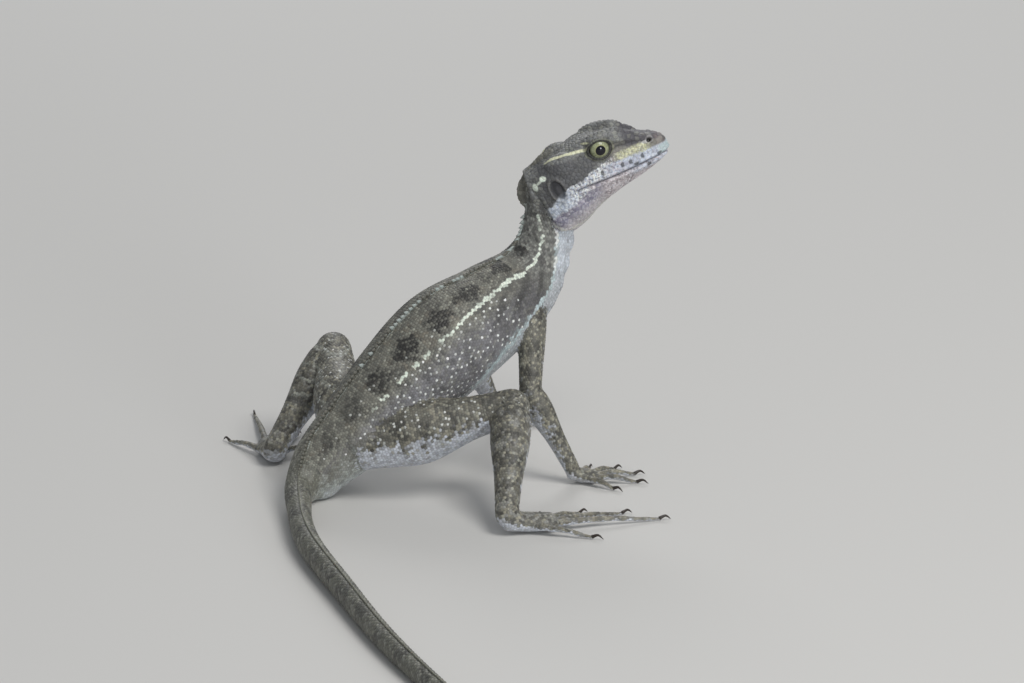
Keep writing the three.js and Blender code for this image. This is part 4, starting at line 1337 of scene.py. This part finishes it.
claw = make_claws()
shade_smooth(claw.data)
claw_mat, _, claw_shader = new_material("claw horn")
claw_shader.inputs["Base Color"].default_value = (*srgb(52, 44, 38), 1)
claw_shader.inputs["Roughness"].default_value = 0.35
claw.data.materials.append(claw_mat)
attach(claw, "root")

# The low saw-toothed crest of scales along the backbone
TOOTH_RING = [(0.55, 0), (0.2, 1), (-0.45, 0.8), (-0.6, 0), (-0.45, -0.8), (0.2, -1)]


def make_back_crest(tip_s=60):
    points, faces, colours = [], [], []
    draw = np.random.default_rng(31)
    s = neck_start + 14.5
    sides = len(TOOTH_RING)
    while s > tip_s:
        i = int(np.clip(np.searchsorted(body.s, s), 0, len(body.s) - 1))
        along, up, left = body.along[i], body.up[i], body.left[i]
        on_tail = float(smooth(vent_s + 4, vent_s - 30, s))
        fade = float(smooth(tip_s, 150, s))
        tall = (1.15 - 0.45 * on_tail) * (0.4 + 0.6 * fade) * (0.85 + 0.3 * draw.random())
        long = 1.45 * (0.55 + 0.45 * fade)
        wide = 0.26 * (0.5 + 0.5 * fade)
        foot = body.at[i] + up * (body.t[i] - 0.35) + along * (s - body.s[i])
        middle = foot + up * (0.35 + tall * 0.45) - along * 0.22 * tall
        first = len(points)
        points += [foot + along * (x * long) + left * (y * wide) for x, y in TOOTH_RING]
        points += [middle + along * (x * long * 0.68) + left * (y * wide * 0.72) for x, y in TOOTH_RING]
        points.append(foot + up * (0.35 + tall) - along * (0.55 * tall + 0.1))
        faces += ring_faces(2, sides, first)
        upper, tip = first + sides, first + 2 * sides
        faces += [(upper + j, upper + (j + 1) % sides, tip) for j in range(sides)]
        faces.append(range(first + sides - 1, first - 1, -1))
        dashes = smooth(-0.3, 0.3, math.sin(s * 0.62 + 2 * math.sin(s * 0.23)))
        dull = BACK * 0.7 * (1 - on_tail) + TAIL * 1.25 * on_tail
        is_pale = draw.random() < 0.9 * dashes * smooth(vent_s + 20, vent_s + 40, s)
        shade = srgb(166, 174, 170) if is_pale else dull
        # each tooth is darker at its foot and lighter at its tip: painted shade where it meets the skin and
        # painted light on its tip
        colours += [shade * 0.75] * sides + [shade] * sides + [shade * 1.15]
        s -= long * 0.92
    made = mesh_object("back_crest_scales", points, faces)
    add_colours(made.data, "Markings", np.array(colours))
    return made


back_crest = make_back_crest()
back_crest.data.materials.append(skin_material("crest scales"))
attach(back_crest, "root")
for piece in (claw, back_crest):
    unwrap(piece)
    fixer = bmesh.new()
    fixer.from_mesh(piece.data)
    bmesh.ops.recalc_face_normals(fixer, faces=fixer.faces)
    fixer.to_mesh(piece.data)
    fixer.free()

bpy.context.scene.view_settings.view_transform = "Standard"

# Floor
floor_mesh = bpy.data.meshes.new("floor")
floor_mesh.from_pydata([(-6, -6, 0), (6, -6, 0), (6, 6, 0), (-6, 6, 0)], [], [(0, 1, 2, 3)])
floor = bpy.data.objects.new("floor", floor_mesh)
bpy.context.scene.collection.objects.link(floor)
floor.location.z = -0.00004
floor_mat, _, floor_shader = new_material("pale floor")
floor_shader.inputs["Base Color"].default_value = (0.62, 0.61, 0.59, 1)
floor_shader.inputs["Roughness"].default_value = 0.85
floor.data.materials.append(floor_mat)

# Camera: looks from the animal's right rear, 18 degrees above the horizon, as the photo does.
TURN, RISE = math.radians(30), math.radians(18)
PX_PER_MM = 3.6
LENS, SENSOR, WIDE, TALL = 200, 36, 1024, 683
ORIGIN_PX = (318, 497)
right = np.array([math.cos(TURN), -math.sin(TURN), 0])
upward = np.array([math.sin(TURN) * math.sin(RISE), math.cos(TURN) * math.sin(RISE), math.cos(RISE)])
toward = np.array([-math.sin(TURN) * math.cos(RISE), -math.cos(TURN) * math.cos(RISE), math.sin(RISE)])
distance = WIDE * LENS / SENSOR / PX_PER_MM
middle = (WIDE / 2 - ORIGIN_PX[0]) / PX_PER_MM * right + (ORIGIN_PX[1] - TALL / 2) / PX_PER_MM * upward
camera_data = bpy.data.cameras.new("camera")
camera_data.lens = LENS
camera_data.sensor_width = SENSOR
camera_data.clip_start = 0.05
camera_data.clip_end = 40
camera = bpy.data.objects.new("camera", camera_data)
bpy.context.scene.collection.objects.link(camera)
place = Matrix([[*c] for c in np.stack([right, upward, toward], 1)]).to_4x4()
place.translation = Vector((middle + distance * toward) * MM)
camera.matrix_world = place
bpy.context.scene.camera = camera

# Light: a broad soft sky with a large key from above and in front of the animal
def area(name, where, size, power, tint):
    data = bpy.data.lights.new(name, "AREA")
    data.shape = "DISK"
    data.size = size
    data.energy = power
    data.color = tint
    lamp = bpy.data.objects.new(name, data)
    bpy.context.scene.collection.objects.link(lamp)
    lamp.location = where
    aim = Vector((0.03, -0.02, 0.04)) - Vector(where)
    lamp.rotation_euler = aim.to_track_quat("-Z", "Y").to_euler()


area("key", (0.25, -0.75, 1.15), 0.7, 9.5, (1.0, 0.985, 0.96))
area("fill", (0.02, -1.15, 0.24), 0.3, 3.0, (0.94, 0.97, 1.0))
area("rim", (0.6, 1.0, 0.8), 0.6, 4.5, (1.0, 1.0, 1.0))
world = bpy.data.worlds.new("soft sky")
world.use_nodes = True
world.node_tree.nodes["Background"].inputs["Color"].default_value = (0.86, 0.9, 0.95, 1)
world.node_tree.nodes["Background"].inputs["Strength"].default_value = 0.35
bpy.context.scene.world = world
